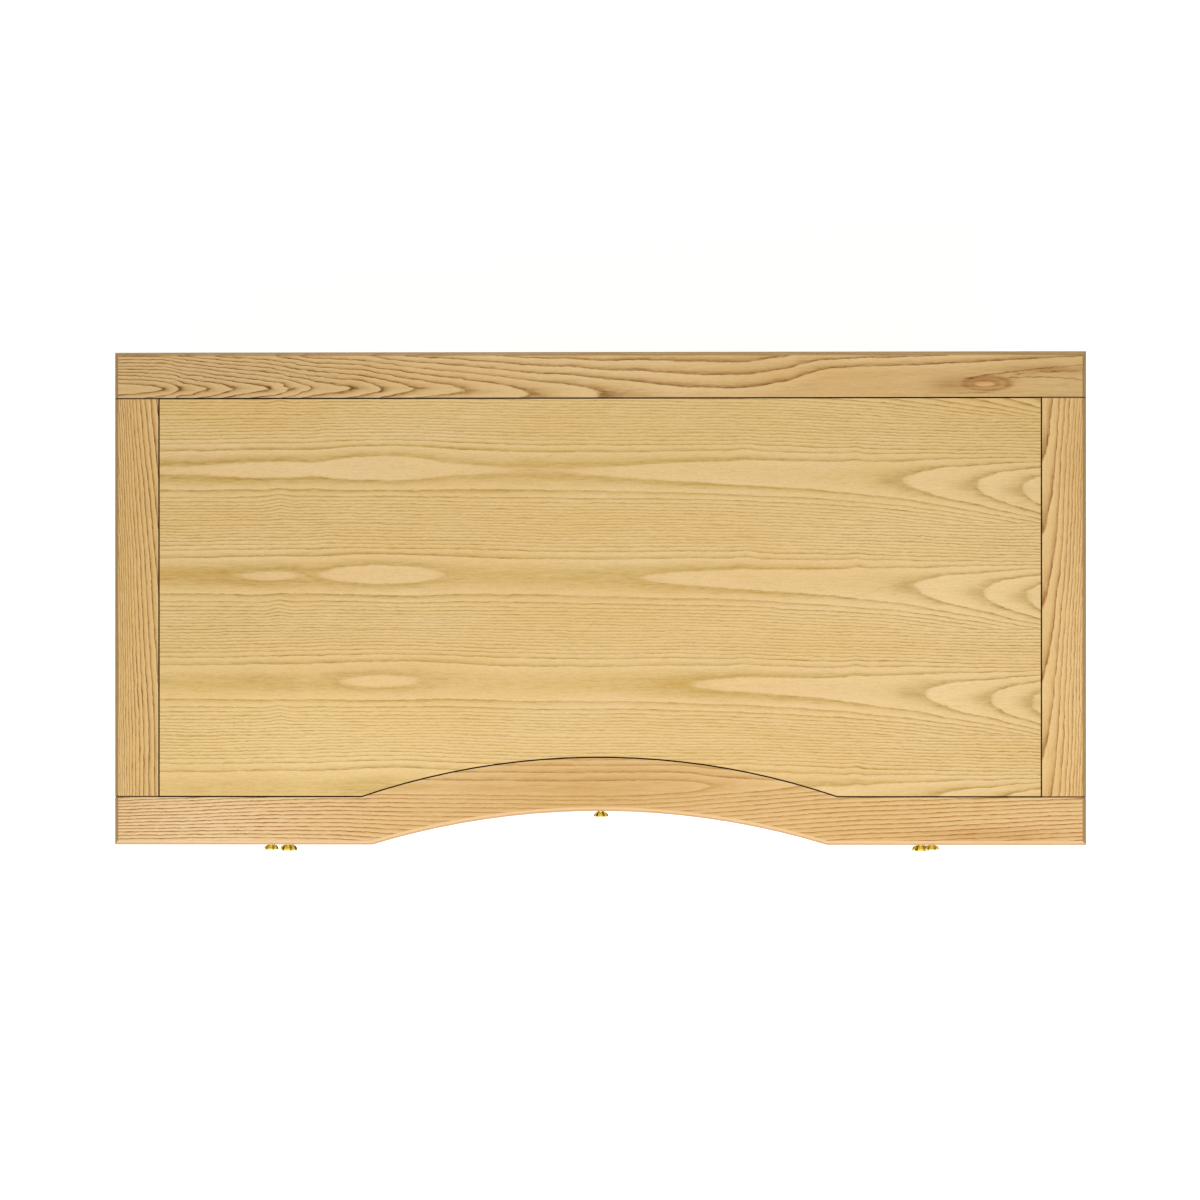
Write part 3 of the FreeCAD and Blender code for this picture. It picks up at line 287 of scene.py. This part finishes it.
def ashMaterial(name, board):
    material, tree, shader = startMaterial(name)
    place = millimetres(tree)
    along, side, depth = place[board["along"]], place[board["across"]], place[board["depth"]]
    seed = board["seed"]
    figure = ashFigure

    def noise(kind):
        length, width, detail, offset = figure["noises"][kind]
        return grainNoise(tree, along / length, side / width, depth / width, seed + offset, detail)

    def swing(kind):  # the same noise about 0
        return noise(kind) - 0.5

    rings, fromHeart = ringNumbers(tree, board, along, side, depth, swing)
    ringNumber = rings.floor()
    vary = figure["ringStrength"]
    strength = grainNoise(
        tree, ringNumber * vary["step"], along / vary["length"], seed, detail=1.0, seed=seed + vary["seed"])
    strength = (strength * board["ringRange"][1] + board["ringRange"][0]).clipped()
    dash = figure["dashes"]
    dashes = grainNoise(
        tree, along / dash["length"], side / dash["width"], ringNumber * dash["step"],
        detail=3.0, seed=seed + dash["seed"])
    dashes = (dashes * dash["gain"] - dash["cut"]).clipped()
    streaks = (noise("streaks") * figure["streakGain"] - figure["streakCut"]).clipped()
    line = Field(tree, rampOf(tree, rings.fraction(), figure["lines"])) * strength * dashes
    line = line * (fromHeart * (1 - board["heartLine"]) + board["heartLine"])
    shade = Field(tree, rampOf(tree, rings.fraction(), figure["shades"])) * strength
    shade = shade * (streaks + figure["shadeBase"])
    for stroke in board.get("strokes", ()):  # single lines that leave the rings
        first, last = stroke["points"][0][0], stroke["points"][-1][0]
        off = side + swing("stroke") * stroke["wobble"] - drawnCurve(tree, along, stroke["points"])
        ends = ((along - first) / figure["strokeEnd"]).clipped()
        ends = ends * ((along * -1 + last) / figure["strokeEnd"]).clipped()
        line = line + (off / stroke["width"]).bell() * ends * stroke["strength"] * dashes

    pores = (swing("pores") * figure["poreGain"]).clipped()
    fleck = swing("fleck")
    cloud = (swing("cloud") * figure["cloudGain"] + 0.5).clipped()
    color = mixColor(tree, cloud, board["pale"], board["warm"])
    color = mixColor(tree, (shade * board["shadeStrength"]).clipped(), color, board["shade"])
    bent = side + swing("spotEdge") * figure["spotBend"]
    for spot in board.get("spots", ()):
        share = softSpot(along, bent, spot) * spot["strength"]
        share = share * (streaks * figure["spotStreaks"] + figure["spotBase"])
        color = mixColor(tree, share.clipped(), color, spot["tone"])
    if "lineGain" in board:
        line = line * drawnCurve(tree, along, board["lineGain"])
    openPores = pores * (shade * figure["poreShade"] + figure["poreBase"]) * board["pores"]
    color = mixColor(tree, (line * board["lineStrength"] + openPores).clipped(), color, board["line"])
    color = mixColor(tree, 1.0, color, colorOf(tree, fleck * board["fleck"] + 1), "MULTIPLY")
    color = paintedEdgeLightAndJointShade(tree, board, place, along, color)
    tree.links.new(color, shader.inputs["Base Color"])

    worn = pores * figure["poreRoughness"] + fleck * figure["fleckRoughness"] + board["roughness"]
    plug(tree, shader.inputs["Roughness"], worn)
    shader.inputs["Specular IOR Level"].default_value = figure["specular"]
    relief = tree.nodes.new("ShaderNodeBump")
    relief.inputs["Strength"].default_value = figure["relief"]["strength"]
    relief.inputs["Distance"].default_value = figure["relief"]["distance"]
    sunk = pores * figure["relief"]["pores"] + line * figure["relief"]["lines"]
    plug(tree, relief.inputs["Height"], sunk * -1)
    tree.links.new(relief.outputs["Normal"], shader.inputs["Normal"])
    return material


# the top's edges and joints, in mm below its face, with painted highlight and painted shade on the edge
# facets and painted shade in the joints

topHeight = 760
# the dark tones below are painted shade in the panel's groove and at the butt joints
topEdge = {
    "facetStart": 0.1, "facetGain": 3, "facetEnd": 4.5, "lowerEnd": 11.6, "lowerGain": 2,
    "jointStart": 0.7, "jointGain": 3, "joint": tone(52, 34, 22),
    "hairlineShade": tone(70, 44, 24), "hairlineFade": 0.8, "hairlineDepth": 1.7,
}


def paintedEdgeLightAndJointShade(tree, board, place, along, color):
    down, gain = place["z"] * -1, topEdge["lowerGain"]
    for edge in board.get("edges", ()):  # the two facets of the top's edge, with painted highlight or painted shade on each as the lamps would light it
        outside = facing(tree, edge["axis"], edge["way"], **facetFacing)
        upper = ((down + (topHeight - topEdge["facetStart"])) * topEdge["facetGain"]).clipped() * outside
        color = mixColor(tree, upper * edge["upperShare"], color, edge["upper"])
        lower = ((down + (topHeight - topEdge["facetEnd"])) * gain).clipped()
        lower = lower * ((place["z"] - (topHeight - topEdge["lowerEnd"])) * gain).clipped() * outside
        color = mixColor(tree, lower * edge["lowerShare"], color, edge["lower"])
    for end in board.get("hairlines", ()):  # painted shade: a dark line where the board butts against its neighbour
        near = ((along - end).size() * -topEdge["hairlineFade"] + topEdge["hairlineDepth"]).clipped()
        color = mixColor(tree, near, color, topEdge["hairlineShade"])
    if "joint" in board:  # painted shade on the groove walls round the panel, where shade falls
        wall = facing(tree, *board["joint"], **wallFacing)
        color = mixColor(tree, wall, color, topEdge["joint"])
    if "tongue" in board:  # painted shade on the panel's edges down inside that groove
        sunk = ((down + (topHeight - topEdge["jointStart"])) * topEdge["jointGain"]).clipped()
        color = mixColor(tree, sunk, color, topEdge["joint"])
    return color


# places on the top, read off the photograph in its pixels and given back in mm

photo = {"pixelsPerMm": 0.6061, "middleX": 600.5, "frontY": 843.7, "frontEdge": -393}


def photoX(pixel):
    return (pixel - photo["middleX"]) / photo["pixelsPerMm"]


def photoY(pixel):
    return photo["frontEdge"] + (photo["frontY"] - pixel) / photo["pixelsPerMm"]


def photoPoints(*points):
    return [(photoX(x), photoY(y)) for x, y in points]


def overX(*pairs):  # values along a board that runs across the picture
    return [(photoX(x), value) for x, value in pairs]


def overY(*pairs):  # values along a board that runs up the picture, from the front
    return [(photoY(y), value) for y, value in pairs]


def spotAt(x, y, length, width, color, strength, **more):
    return dict(more, at=(photoX(x), photoY(y)), length=length, width=width, tone=color, strength=strength)


def bumpAt(x, fromHeart, length, width, height):
    return {"at": (photoX(x), fromHeart), "length": length, "width": width, "height": height}


def bothSides(*points):  # the same to the left and to the right of the heart
    return [(-place, rings) for place, rings in reversed(points[1:])] + list(points)


# veneered panel of the top: four leaves, each with the same heart, eyes and arches

archGlow, archSmudge = tone(244, 211, 153), tone(170, 140, 82)
panelGrain = {
    "along": "x", "across": "y", "depth": "z", "seed": 1.0, "level": topHeight, "dip": 0.0,
    "leaf": 174.5, "leafStep": -0.12, "leafBase": photoY(575.5),
    "heart": photoPoints(
        (116, 575.5), (280, 575), (385, 574), (560, 577), (700, 578), (850, 583), (982, 591.5),
        (1085, 601)),
    "profile": bothSides(
        (0, 0.0), (10, 0.08), (17, 0.25), (24, 0.5), (31, 1.0), (38, 1.5), (46, 2.4), (54, 3.6), (62, 5.0),
        (88, 10.2), (150, 22.0)),
    "climb": overX(
        (116, 0.1), (200, 0.05), (233, 0.0), (262, -0.05), (290, -0.04), (313, 0.0), (345, -0.14),
        (380, -0.22), (410, -0.18), (445, -0.02), (460, 0.03), (560, 0.1), (610, 0.05), (636, 0.0),
        (747, -0.26), (830, -0.42), (880, -0.7), (913, -1), (950, -1.5), (982, -2), (1025, -3),
        (1062, -4), (1085, -4.7)),
    "bumps": [
        bumpAt(281, -52, 15, 26, -4.0), bumpAt(330, 60, 18, 16, -2.0),
        bumpAt(745, 34, 20, 22, -2.4), bumpAt(856, 36, 12, 24, -2.6)],
    "spots": [
        *[spotAt(975, y, 150, 34, archGlow, 0.42) for y in (486, 591, 696)],
        *[spotAt(x + 8 * leaf, y + 105.4 * leaf, 22, 8, archSmudge, 0.36)
          for x, y in ((892, 482), (966, 486.5), (1013, 490.5)) for leaf in range(3)],
        spotAt(290, 735, 330, 110, tone(252, 221, 152), 0.3),
        spotAt(940, 585, 260, 190, tone(248, 216, 162), 0.24)],
    "lineGain": overX(
        (116, 0.98), (330, 0.94), (480, 0.8), (620, 0.64), (780, 0.72), (900, 1.0), (1085, 1.15)),
    "drift": 7, "ripple": 3.4, "tremble": 3.0, "jag": 14,
    "calm": 2, "calmFade": 38, "heartLine": 0.36, "ringRange": (0.25, 1.0),
    "pale": tone(235, 203, 150), "warm": tone(229, 192, 128),
    "shade": tone(199, 164, 72), "line": tone(154, 106, 12),
    "lineStrength": 0.98, "shadeStrength": 0.67, "pores": 0.32, "fleck": 0.28, "roughness": 0.42,
    "tongue": True,
}
dress(ashMaterial("ashVeneerTop", panelGrain), "top_panel")

# painted shade on both facets of the top's left and right edges, which the lamps light less
sideEdgeShade = [
    {"axis": "X", "way": way, "upper": tone(182, 134, 58), "upperShare": 0.5,
     "lower": tone(116, 80, 38), "lowerShare": 0.5}
    for way in (-1, 1)]

# back rail: arches pointing right along the front edge, wide lines after them, a knot near the right end

backApexes = (164, 183, 209, 237, 272, 294, 315, 358, 387, 419, 469, 532, 602)
backPale = tone(216, 178, 116)
backRailGrain = {
    "along": "x", "across": "y", "depth": "z", "seed": 2.0, "level": topHeight, "dip": 0.2, "flat": 12,
    "heart": photoPoints(
        (116, 389), (300, 388.5), (420, 389), (480, 391), (540, 394), (610, 399), (700, 404.5), (780, 408),
        (850, 410), (1085, 410)),
    "core": overX(
        (116, 0), (520, 0), (600, 10), (690, 6), (780, 21.5), (805, 37), (850, 55.6), (900, 59.3),
        (1020, 68.3), (1085, 73)),
    "spacing": overX(
        (116, 4.9), (300, 6.9), (480, 10.4), (600, 13.5), (690, 20), (780, 20), (850, 12), (1085, 12)),
    "climb": overX(
        (112, -0.7), *[(x, number) for number, x in enumerate(backApexes)],
        (640, 12.25), (690, 12.35), (1085, 12.4)),
    "lineGain": overX((116, 1.5), (330, 1.4), (450, 1.05), (600, 0.95), (850, 1.0), (1085, 1.05)),
    "strokes": [
        {"points": photoPoints((960, 381), (985, 376), (1010, 373), (1040, 369.5), (1084, 366)),
         "width": 1.1, "strength": 1.0, "wobble": 5},
        {"points": photoPoints((998, 380.5), (1030, 378), (1060, 379), (1084, 381.5)),
         "width": 1.0, "strength": 0.8, "wobble": 6},
        {"points": photoPoints((1008, 377), (1040, 373), (1084, 372)),
         "width": 0.9, "strength": 0.7, "wobble": 8},
        {"points": photoPoints((952, 395.5), (975, 393.5), (1000, 395.5)),
         "width": 1.2, "strength": 0.7, "wobble": 4},
    ],
    "spots": [
        spotAt(950, 386, 36, 13, tone(176, 134, 80), 0.6),
        spotAt(986, 383, 38, 10, tone(172, 118, 58), 0.8),
        spotAt(1046, 371, 62, 6, tone(176, 128, 68), 0.7),
        spotAt(984, 385, 22, 4, tone(226, 180, 118), 1.0),
        spotAt(986, 384.5, 36, 11, tone(150, 94, 40), 0.55, ring=0.2),
        spotAt(984, 384.8, 21, 6, tone(156, 100, 44), 0.5, ring=0.25),
        spotAt(220, 372, 290, 44, tone(208, 173, 120), 0.3),
        spotAt(540, 392, 17, 9, backPale, 0.9),
        spotAt(612, 393, 20, 10, backPale, 1.0),
    ],
    "drift": 3, "ripple": 3.4, "tremble": 2.4, "jag": 30,
    "calm": -14, "calmFade": 14, "heartLine": 0.2, "ringRange": (0.45, 0.95),
    "pale": tone(234, 201, 147), "warm": tone(221, 182, 120),
    "shade": tone(186, 138, 62), "line": tone(116, 66, 6),
    "lineStrength": 0.85, "shadeStrength": 0.66, "pores": 0.26, "fleck": 0.24, "roughness": 0.42,
    "joint": ("Y", -1),
    # painted light on the back facet, with painted shade on the steeper facet below it
    "edges": [
        {"axis": "Y", "way": 1, "upper": tone(240, 190, 104), "upperShare": 0.5,
         "lower": tone(134, 94, 46), "lowerShare": 0.4},
        *sideEdgeShade],
}
dress(ashMaterial("ashBackRail", backRailGrain), "top_back_rail")

# front rail: tight lines at the ends, a long pale tongue under the curved joint

frontRailGrain = {
    "along": "x", "across": "y", "depth": "z", "seed": 3.0, "level": topHeight, "dip": -0.28,
    "heart": photoPoints((116, 790), (360, 786.5), (600, 787), (712, 785), (850, 782), (1085, 777)),
    "profile": [
        (-140, 18.3), (-25, 3.0), (-18, 2.0), (-11.5, 1.0), (-5, 0.45), (0, 0.3), (6, 0.5), (12, 1.0),
        (25, 2.0), (36, 3.0), (45, 4.0), (70, 7.0)],
    "fan": overX((116, 1.4), (330, 1.15), (450, 1.0), (850, 1.0), (1085, 1.12)),
    "climb": overX(
        (116, -2.3), (300, -0.6), (380, -0.1), (450, 0.0), (600, 0.0), (680, 0.25), (712, 0.7), (760, 1.2),
        (800, 1.7), (850, 2.1), (1085, 2.4)),
    "lineGain": overX(
        (116, 1.75), (330, 1.35), (450, 0.7), (600, 0.6), (760, 0.75), (850, 0.95), (1085, 1.1)),
    "spots": [
        spotAt(600, 790, 300, 90, tone(203, 160, 94), 0.55),
        spotAt(205, 820, 200, 70, tone(250, 224, 178), 0.42),
        spotAt(985, 834, 130, 14, tone(202, 154, 92), 0.6),
    ],
    "drift": 5, "ripple": 2.6, "tremble": 2.4, "jag": 10,
    "calm": 0, "calmFade": 14, "heartLine": 0.2, "ringRange": (0.6, 0.9),
    "pale": tone(236, 202, 148), "warm": tone(226, 187, 126),
    "shade": tone(203, 154, 78), "line": tone(150, 84, 8),
    "lineStrength": 0.95, "shadeStrength": 0.75, "pores": 0.24, "fleck": 0.22, "roughness": 0.42,
    "joint": ("Y", 1),
    # painted highlight on the front facet, with painted shade on the steeper facet below it
    "edges": [
        {"axis": "Y", "way": -1, "upper": tone(243, 207, 162), "upperShare": 0.5,
         "lower": tone(182, 122, 48), "lowerShare": 0.6},
        *sideEdgeShade],
}
dress(ashMaterial("ashFrontRail", frontRailGrain), "top_front_rail")

# stiles: the lines run out at the panel's side on their way to the front, on the right in short hooks

leftStileGrain = {
    "along": "y", "across": "x", "depth": "z", "seed": 4.0, "level": topHeight, "dip": 0.22,
    "heart": overY((800, photoX(114)), (396, photoX(114))),
    "profile": [(0, 0.0), (12, 3.5), (25, 7.0), (36, 9.4), (46, 11.0), (58, 12.5), (80, 14.8)],
    "climb": overY((800, -4.8), (690, -4.4), (600, -3.5), (500, -1.9), (396, 0.0)),
    "drift": 6, "ripple": 3.6, "tremble": 2.8, "jag": 0,
    "calm": -14, "calmFade": 14, "heartLine": 0.2, "ringRange": (0.34, 1.05),
    "pale": tone(236, 199, 137), "warm": tone(225, 186, 119),
    "shade": tone(190, 142, 74), "line": tone(126, 73, 18),
    "lineStrength": 1.12, "shadeStrength": 0.66, "pores": 0.3, "fleck": 0.26, "roughness": 0.42,
    "hairlines": (-313.8, 342.3),  # the rails' edges, in mm
    "joint": ("X", 1),
    "edges": sideEdgeShade,
}
dress(ashMaterial("ashLeftStile", leftStileGrain), "top_left_stile")

rightStileGrain = dict(
    leftStileGrain, seed=5.0, heart=overY((800, photoX(1088)), (396, photoX(1088))),
    profile=[
        (-90, 11.0), (-80, 10.9), (-72, 10.75), (-66, 10.5), (-56, 9.9), (-42, 8.5), (-30, 6.8), (-20, 4.9),
        (-10, 2.6), (0, 0.0)],
    climb=overY((800, -5.4), (600, -2.8), (396, 0.0)), drift=11, ripple=5.6, tremble=3.2,
    pale=tone(241, 205, 144), warm=tone(230, 191, 127), line=tone(144, 84, 32), lineStrength=0.95,
    joint=("X", -1))
dress(ashMaterial("ashRightStile", rightStileGrain), "top_right_stile")
print("top dressed")

# solid ash under the top

plainAsh = {
    "flat": 26, "level": 0, "dip": 0.2,
    "spacing": [(-900, 6.5), (900, 6.5)], "climb": [(-900, 0.0), (900, 0.0)],
    "roam": 9, "roamLength": 420, "drift": 9, "ripple": 2.6, "tremble": 2.2, "jag": 12,
    "calm": 0, "calmFade": 14, "heartLine": 0.2, "ringRange": (0.3, 0.95),
    "pale": tone(232, 198, 142), "warm": tone(222, 184, 124),
    "shade": tone(196, 150, 84), "line": tone(136, 84, 34),
    "lineStrength": 0.82, "shadeStrength": 0.62, "pores": 0.24, "fleck": 0.22, "roughness": 0.44,
}
sides = ("left", "right")
legAsh = ashMaterial("ashLegs", dict(
    plainAsh, along="z", across="x", depth="y", seed=6.0, heart=[(-100, -40), (900, 10)],
    flat=200, dip=0.17))
railAsh = ashMaterial("ashRails", dict(
    plainAsh, along="x", across="y", depth="z", seed=7.0, heart=[(-800, -420), (800, -390)]))
sideRailAsh = ashMaterial("ashSideRails", dict(
    plainAsh, along="y", across="z", depth="x", seed=8.0, heart=[(-420, 690), (420, 720)],
    dip=0.15))
frontAsh = ashMaterial("ashDrawerFronts", dict(
    plainAsh, along="x", across="z", depth="y", seed=9.0, heart=[(-800, 636), (800, 660)],
    flat=40, dip=0.15))
dress(legAsh, *[side + "_legs" for side in sides])
dress(railAsh, "kneehole_rail", "modesty_rails", *[side + "_front_rails" for side in sides])
dress(sideRailAsh, "top_battens", "centre_runners", *[
    side + piece for side in sides for piece in ("_frame_rails", "_drawer_supports")])
dress(frontAsh, "centre_drawer_front", *[side + "_top_drawer_front" for side in sides])

# panels, and file drawer fronts glued up from boards of the same figure

veneer = {
    "dip": 0.0, "leaf": 174.5, "leafStep": -0.1, "leafBase": 0,
    "profile": bothSides(
        (0, 0.0), (8, 0.14), (16, 0.5), (26, 1.2), (36, 2.2), (47, 3.3), (90, 8.6), (150, 16.2)),
    "roam": 5, "roamLength": 380,
}
gluedBoards = dict(veneer, leafBase=104)
sideVeneer = ashMaterial("ashSidePanels", dict(
    plainAsh, **veneer, along="z", across="y", depth="x", seed=10.0, heart=[(0, 20), (800, 30)]))
backVeneer = ashMaterial("ashBackPanels", dict(
    plainAsh, **veneer, along="z", across="x", depth="y", seed=11.0, heart=[(0, 0), (800, 8)]))
fileFrontAsh = ashMaterial("ashFileFronts", dict(
    plainAsh, **gluedBoards, along="x", across="z", depth="y", seed=15.0, heart=[(-800, 92), (800, 116)]))
dress(sideVeneer, *[
    side + piece for side in sides for piece in ("_inner_side_panel", "_outer_side_panel")])
dress(backVeneer, "modesty_panel", *[side + "_back_panel" for side in sides])
dress(fileFrontAsh, *[side + "_file_drawer_front" for side in sides])

# drawer boxes: pale, quiet ash with birch plywood bottoms

boxTones = {
    "pale": tone(235, 208, 160), "warm": tone(229, 198, 147), "lineStrength": 0.55, "shadeStrength": 0.4}
birchTones = {
    "pale": tone(235, 212, 170), "warm": tone(228, 203, 158), "shade": tone(214, 186, 138),
    "line": tone(186, 152, 102), "lineStrength": 0.45, "shadeStrength": 0.35}
boxAsh = ashMaterial("ashDrawerBoxes", dict(
    plainAsh, **boxTones, along="y", across="z", depth="x", seed=12.0, heart=[(-420, 560), (420, 600)],
    dip=0.15))
backAsh = ashMaterial("ashDrawerBacks", dict(
    plainAsh, **boxTones, along="x", across="z", depth="y", seed=13.0, heart=[(-800, 560), (800, 600)],
    dip=0.15))
plyBirch = ashMaterial("birchBottoms", dict(
    plainAsh, **veneer, **birchTones, along="y", across="x", depth="z", seed=14.0,
    heart=[(-420, 0), (420, 6)]))
drawers = [side + kind for side in sides for kind in ("_top_drawer", "_file_drawer")] + ["centre_drawer"]
dress(boxAsh, *[drawer + "_sides" for drawer in drawers])
dress(backAsh, *[drawer + "_back" for drawer in drawers])
dress(plyBirch, *[drawer + "_bottom" for drawer in drawers], *[side + "_bottom_board" for side in sides])
print("woodwork dressed")

# polished brass knobs, with painted reflections and tarnish in dark and bright streaks round the turned
# edge

brassGold = tone(186, 168, 40)
brassFinish = {
    "edge": [  # painted reflections and tarnish, from dark to a bright painted highlight
        (0.3, tone(30, 27, 5)), (0.42, brassGold), (0.48, brassGold), (0.56, tone(255, 252, 150))],
    "face": [(0.3, tone(206, 170, 90)), (0.6, tone(222, 188, 104))],
    "reflectionStripes": 7, "stripeTurn": 0.6, "stripeShare": 0.26, "halves": 2, "halfShare": 0.2,
    "streaks": 4.4, "streakLength": 60, "streakShare": 0.9,
    "tarnishSize": {"x": 5, "y": 4, "z": 5}, "tarnishShare": 0.3, "reflectionAndTarnish": 0.48,
    "roughness": 0.24, "roughnessRange": 0.12,
}


def brassMaterial(name, finish, middleX, middleZ):
    material, tree, shader = startMaterial(name)
    place = millimetres(tree)
    angle = (place["x"] - middleX).math("ARCTAN2", place["z"] - middleZ)
    streaks = grainNoise(tree, angle * finish["streaks"], place["y"] / finish["streakLength"], 0, seed=21)
    blotch = [place[axis] / size for axis, size in finish["tarnishSize"].items()]
    tarnish = grainNoise(tree, *blotch, detail=3.0, seed=22) - 0.5
    # painted reflections: stripes round the edge for the lamps and dark surroundings it would mirror,
    # brighter at the top and bottom than at the sides
    reflectionStripes = (angle * finish["reflectionStripes"] + finish["stripeTurn"]).math("COSINE") * finish["stripeShare"]
    reflectionStripes = reflectionStripes + (angle * finish["halves"]).math("COSINE") * finish["halfShare"]
    reflectionAndTarnish = reflectionStripes + (streaks - 0.5) * finish["streakShare"] + tarnish * finish["tarnishShare"]
    reflectionAndTarnish = reflectionAndTarnish + finish["reflectionAndTarnish"]
    edge = rampOf(tree, reflectionAndTarnish, finish["edge"])
    face = rampOf(tree, tarnish + 0.5, finish["face"])
    color = mixColor(tree, facing(tree, "Y", -1, **wallFacing), edge, face)
    tree.links.new(color, shader.inputs["Base Color"])
    shader.inputs["Metallic"].default_value = 1
    plug(tree, shader.inputs["Roughness"], tarnish * finish["roughnessRange"] + finish["roughness"])
    return material


for drawer in drawers:
    low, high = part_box(drawer + "_knob")
    middle = (Vector(low) + Vector(high)) / 2 * mmPerMetre
    dress(brassMaterial(drawer + "Brass", brassFinish, middle.x, middle.z), drawer + "_knob")

# zinc-plated slides and screws, drawn along their length

zincFinish = {
    "color": tone(196, 199, 201), "streak": tone(168, 172, 175), "streakLength": 40, "streakWidth": 0.8,
    "roughness": 0.26, "roughnessRange": 0.16,
}


def zincMaterial(finish):
    material, tree, shader = startMaterial("zincPlate")
    place = millimetres(tree)
    length, width = finish["streakLength"], finish["streakWidth"]
    streak = grainNoise(tree, place["y"] / length, place["x"] / width, place["z"] / width, seed=22)
    color = mixColor(tree, streak, finish["color"], finish["streak"])
    tree.links.new(color, shader.inputs["Base Color"])
    shader.inputs["Metallic"].default_value = 1
    plug(tree, shader.inputs["Roughness"], streak * finish["roughnessRange"] + finish["roughness"])
    return material


dress(zincMaterial(zincFinish), "top_screws", *[
    side + "_file_slide_" + member for side in sides for member in ("fixed", "middle", "moving")])

# nylon glides under the legs

nylonFinish = {
    "color": tone(62, 50, 42), "speck": tone(78, 65, 55), "speckSize": 0.7,
    "roughness": 0.45, "roughnessRange": 0.2,
}


def nylonMaterial(finish):
    material, tree, shader = startMaterial("nylonGlides")
    place = millimetres(tree)
    speck = grainNoise(tree, *[place[axis] / finish["speckSize"] for axis in "xyz"], seed=23)
    tree.links.new(mixColor(tree, speck, finish["color"], finish["speck"]), shader.inputs["Base Color"])
    plug(tree, shader.inputs["Roughness"], speck * finish["roughnessRange"] + finish["roughness"])
    return material


dress(nylonMaterial(nylonFinish), "leg_glides")
print("metal and nylon dressed")

# white studio floor, soft light from the front and above

studio = {
    "floorSize": 40, "floor": 0.8, "lift": 0.72, "farLift": 0.85,
    "fade": (2.2, 6.5),  # metres from the middle of the desk, beyond its shadow
    "world": 0.2,
    "key": {"at": (0.25, -2.4, 3.6), "aim": (0, 0.0, 0.7), "size": 2.0, "watts": 125},
    "fill": {"at": (-0.4, 2.8, 3.3), "aim": (0, 0.0, 0.6), "size": 2.6, "watts": 38},
}


def seenDirectly(tree):  # 1 for what the camera, metal or glass sees, 0 for light on the desk
    ray = tree.nodes.new("ShaderNodeLightPath")
    seen = Field(tree, ray.outputs["Is Camera Ray"])
    seen = seen.math("MAXIMUM", Field(tree, ray.outputs["Is Glossy Ray"]))
    return seen.math("MAXIMUM", Field(tree, ray.outputs["Is Transmission Ray"]))


def floorMaterial(settings):
    material = bpy.data.materials.new("studioFloor")
    material.use_nodes = True
    tree = material.node_tree
    tree.nodes.clear()
    output = tree.nodes.new("ShaderNodeOutputMaterial")
    paint = tree.nodes.new("ShaderNodeBsdfDiffuse")
    paint.inputs["Color"].default_value = grey(settings["floor"])
    glow = tree.nodes.new("ShaderNodeEmission")
    place = millimetres(tree)
    away = (place["x"].squared() + place["y"].squared()).root() * (1 / mmPerMetre)
    near, far = settings["fade"]
    rise = ((away - near) / (far - near)).clipped() * (settings["farLift"] - settings["lift"])
    plug(tree, glow.inputs["Strength"], seenDirectly(tree) * (rise + settings["lift"]))
    both = tree.nodes.new("ShaderNodeAddShader")
    tree.links.new(paint.outputs[0], both.inputs[0])
    tree.links.new(glow.outputs[0], both.inputs[1])
    tree.links.new(both.outputs[0], output.inputs["Surface"])
    return material


def layFloor(settings):
    half = settings["floorSize"] / 2
    corners = [(-half, -half, 0), (half, -half, 0), (half, half, 0), (-half, half, 0)]
    mesh = bpy.data.meshes.new("floor")
    mesh.from_pydata(corners, [], [(0, 1, 2, 3)])
    floor = bpy.data.objects.new("floor", mesh)
    bpy.context.scene.collection.objects.link(floor)
    mesh.materials.append(floorMaterial(settings))


def hangLamp(name, lamp):
    data = bpy.data.lights.new(name, "AREA")
    data.shape = "SQUARE"
    data.size = lamp["size"]
    data.energy = lamp["watts"]
    lampObject = bpy.data.objects.new(name, data)
    bpy.context.scene.collection.objects.link(lampObject)
    lampObject.location = lamp["at"]
    way = lampObject.location - Vector(lamp["aim"])
    lampObject.rotation_euler = way.to_track_quat("Z", "Y").to_euler()


def lightWorld(settings):
    world = bpy.data.worlds.new("studioWorld")
    bpy.context.scene.world = world
    world.use_nodes = True
    tree = world.node_tree
    back = tree.nodes["Background"]
    back.inputs["Color"].default_value = grey(1)
    light = settings["world"]
    plug(tree, back.inputs["Strength"], seenDirectly(tree) * (1 - light) + light)


layFloor(studio)
hangLamp("keyLamp", studio["key"])
hangLamp("fillLamp", studio["fill"])
lightWorld(studio)

# camera straight above, a little to the right of and in front of the middle, as in the photograph

view = {
    "side": 0.128, "front": -0.153, "aboveTop": 4.7, "tilt": (0, 0.773, 0),
    "lens": 85.82, "sensor": 36, "shiftX": -0.03215, "shiftY": 0.0826, "reach": 100,
}
cameraData = bpy.data.cameras.new("camera")
cameraData.lens = view["lens"]
cameraData.sensor_width = view["sensor"]
cameraData.shift_x = view["shiftX"]
cameraData.shift_y = view["shiftY"]
cameraData.clip_end = view["reach"]
camera = bpy.data.objects.new("camera", cameraData)
bpy.context.scene.collection.objects.link(camera)
camera.location = (view["side"], view["front"], cadHigh.z + view["aboveTop"])
camera.rotation_euler = [radians(angle) for angle in view["tilt"]]
bpy.context.scene.camera = camera
bpy.context.scene.view_settings.view_transform = "Standard"
print("studio set")
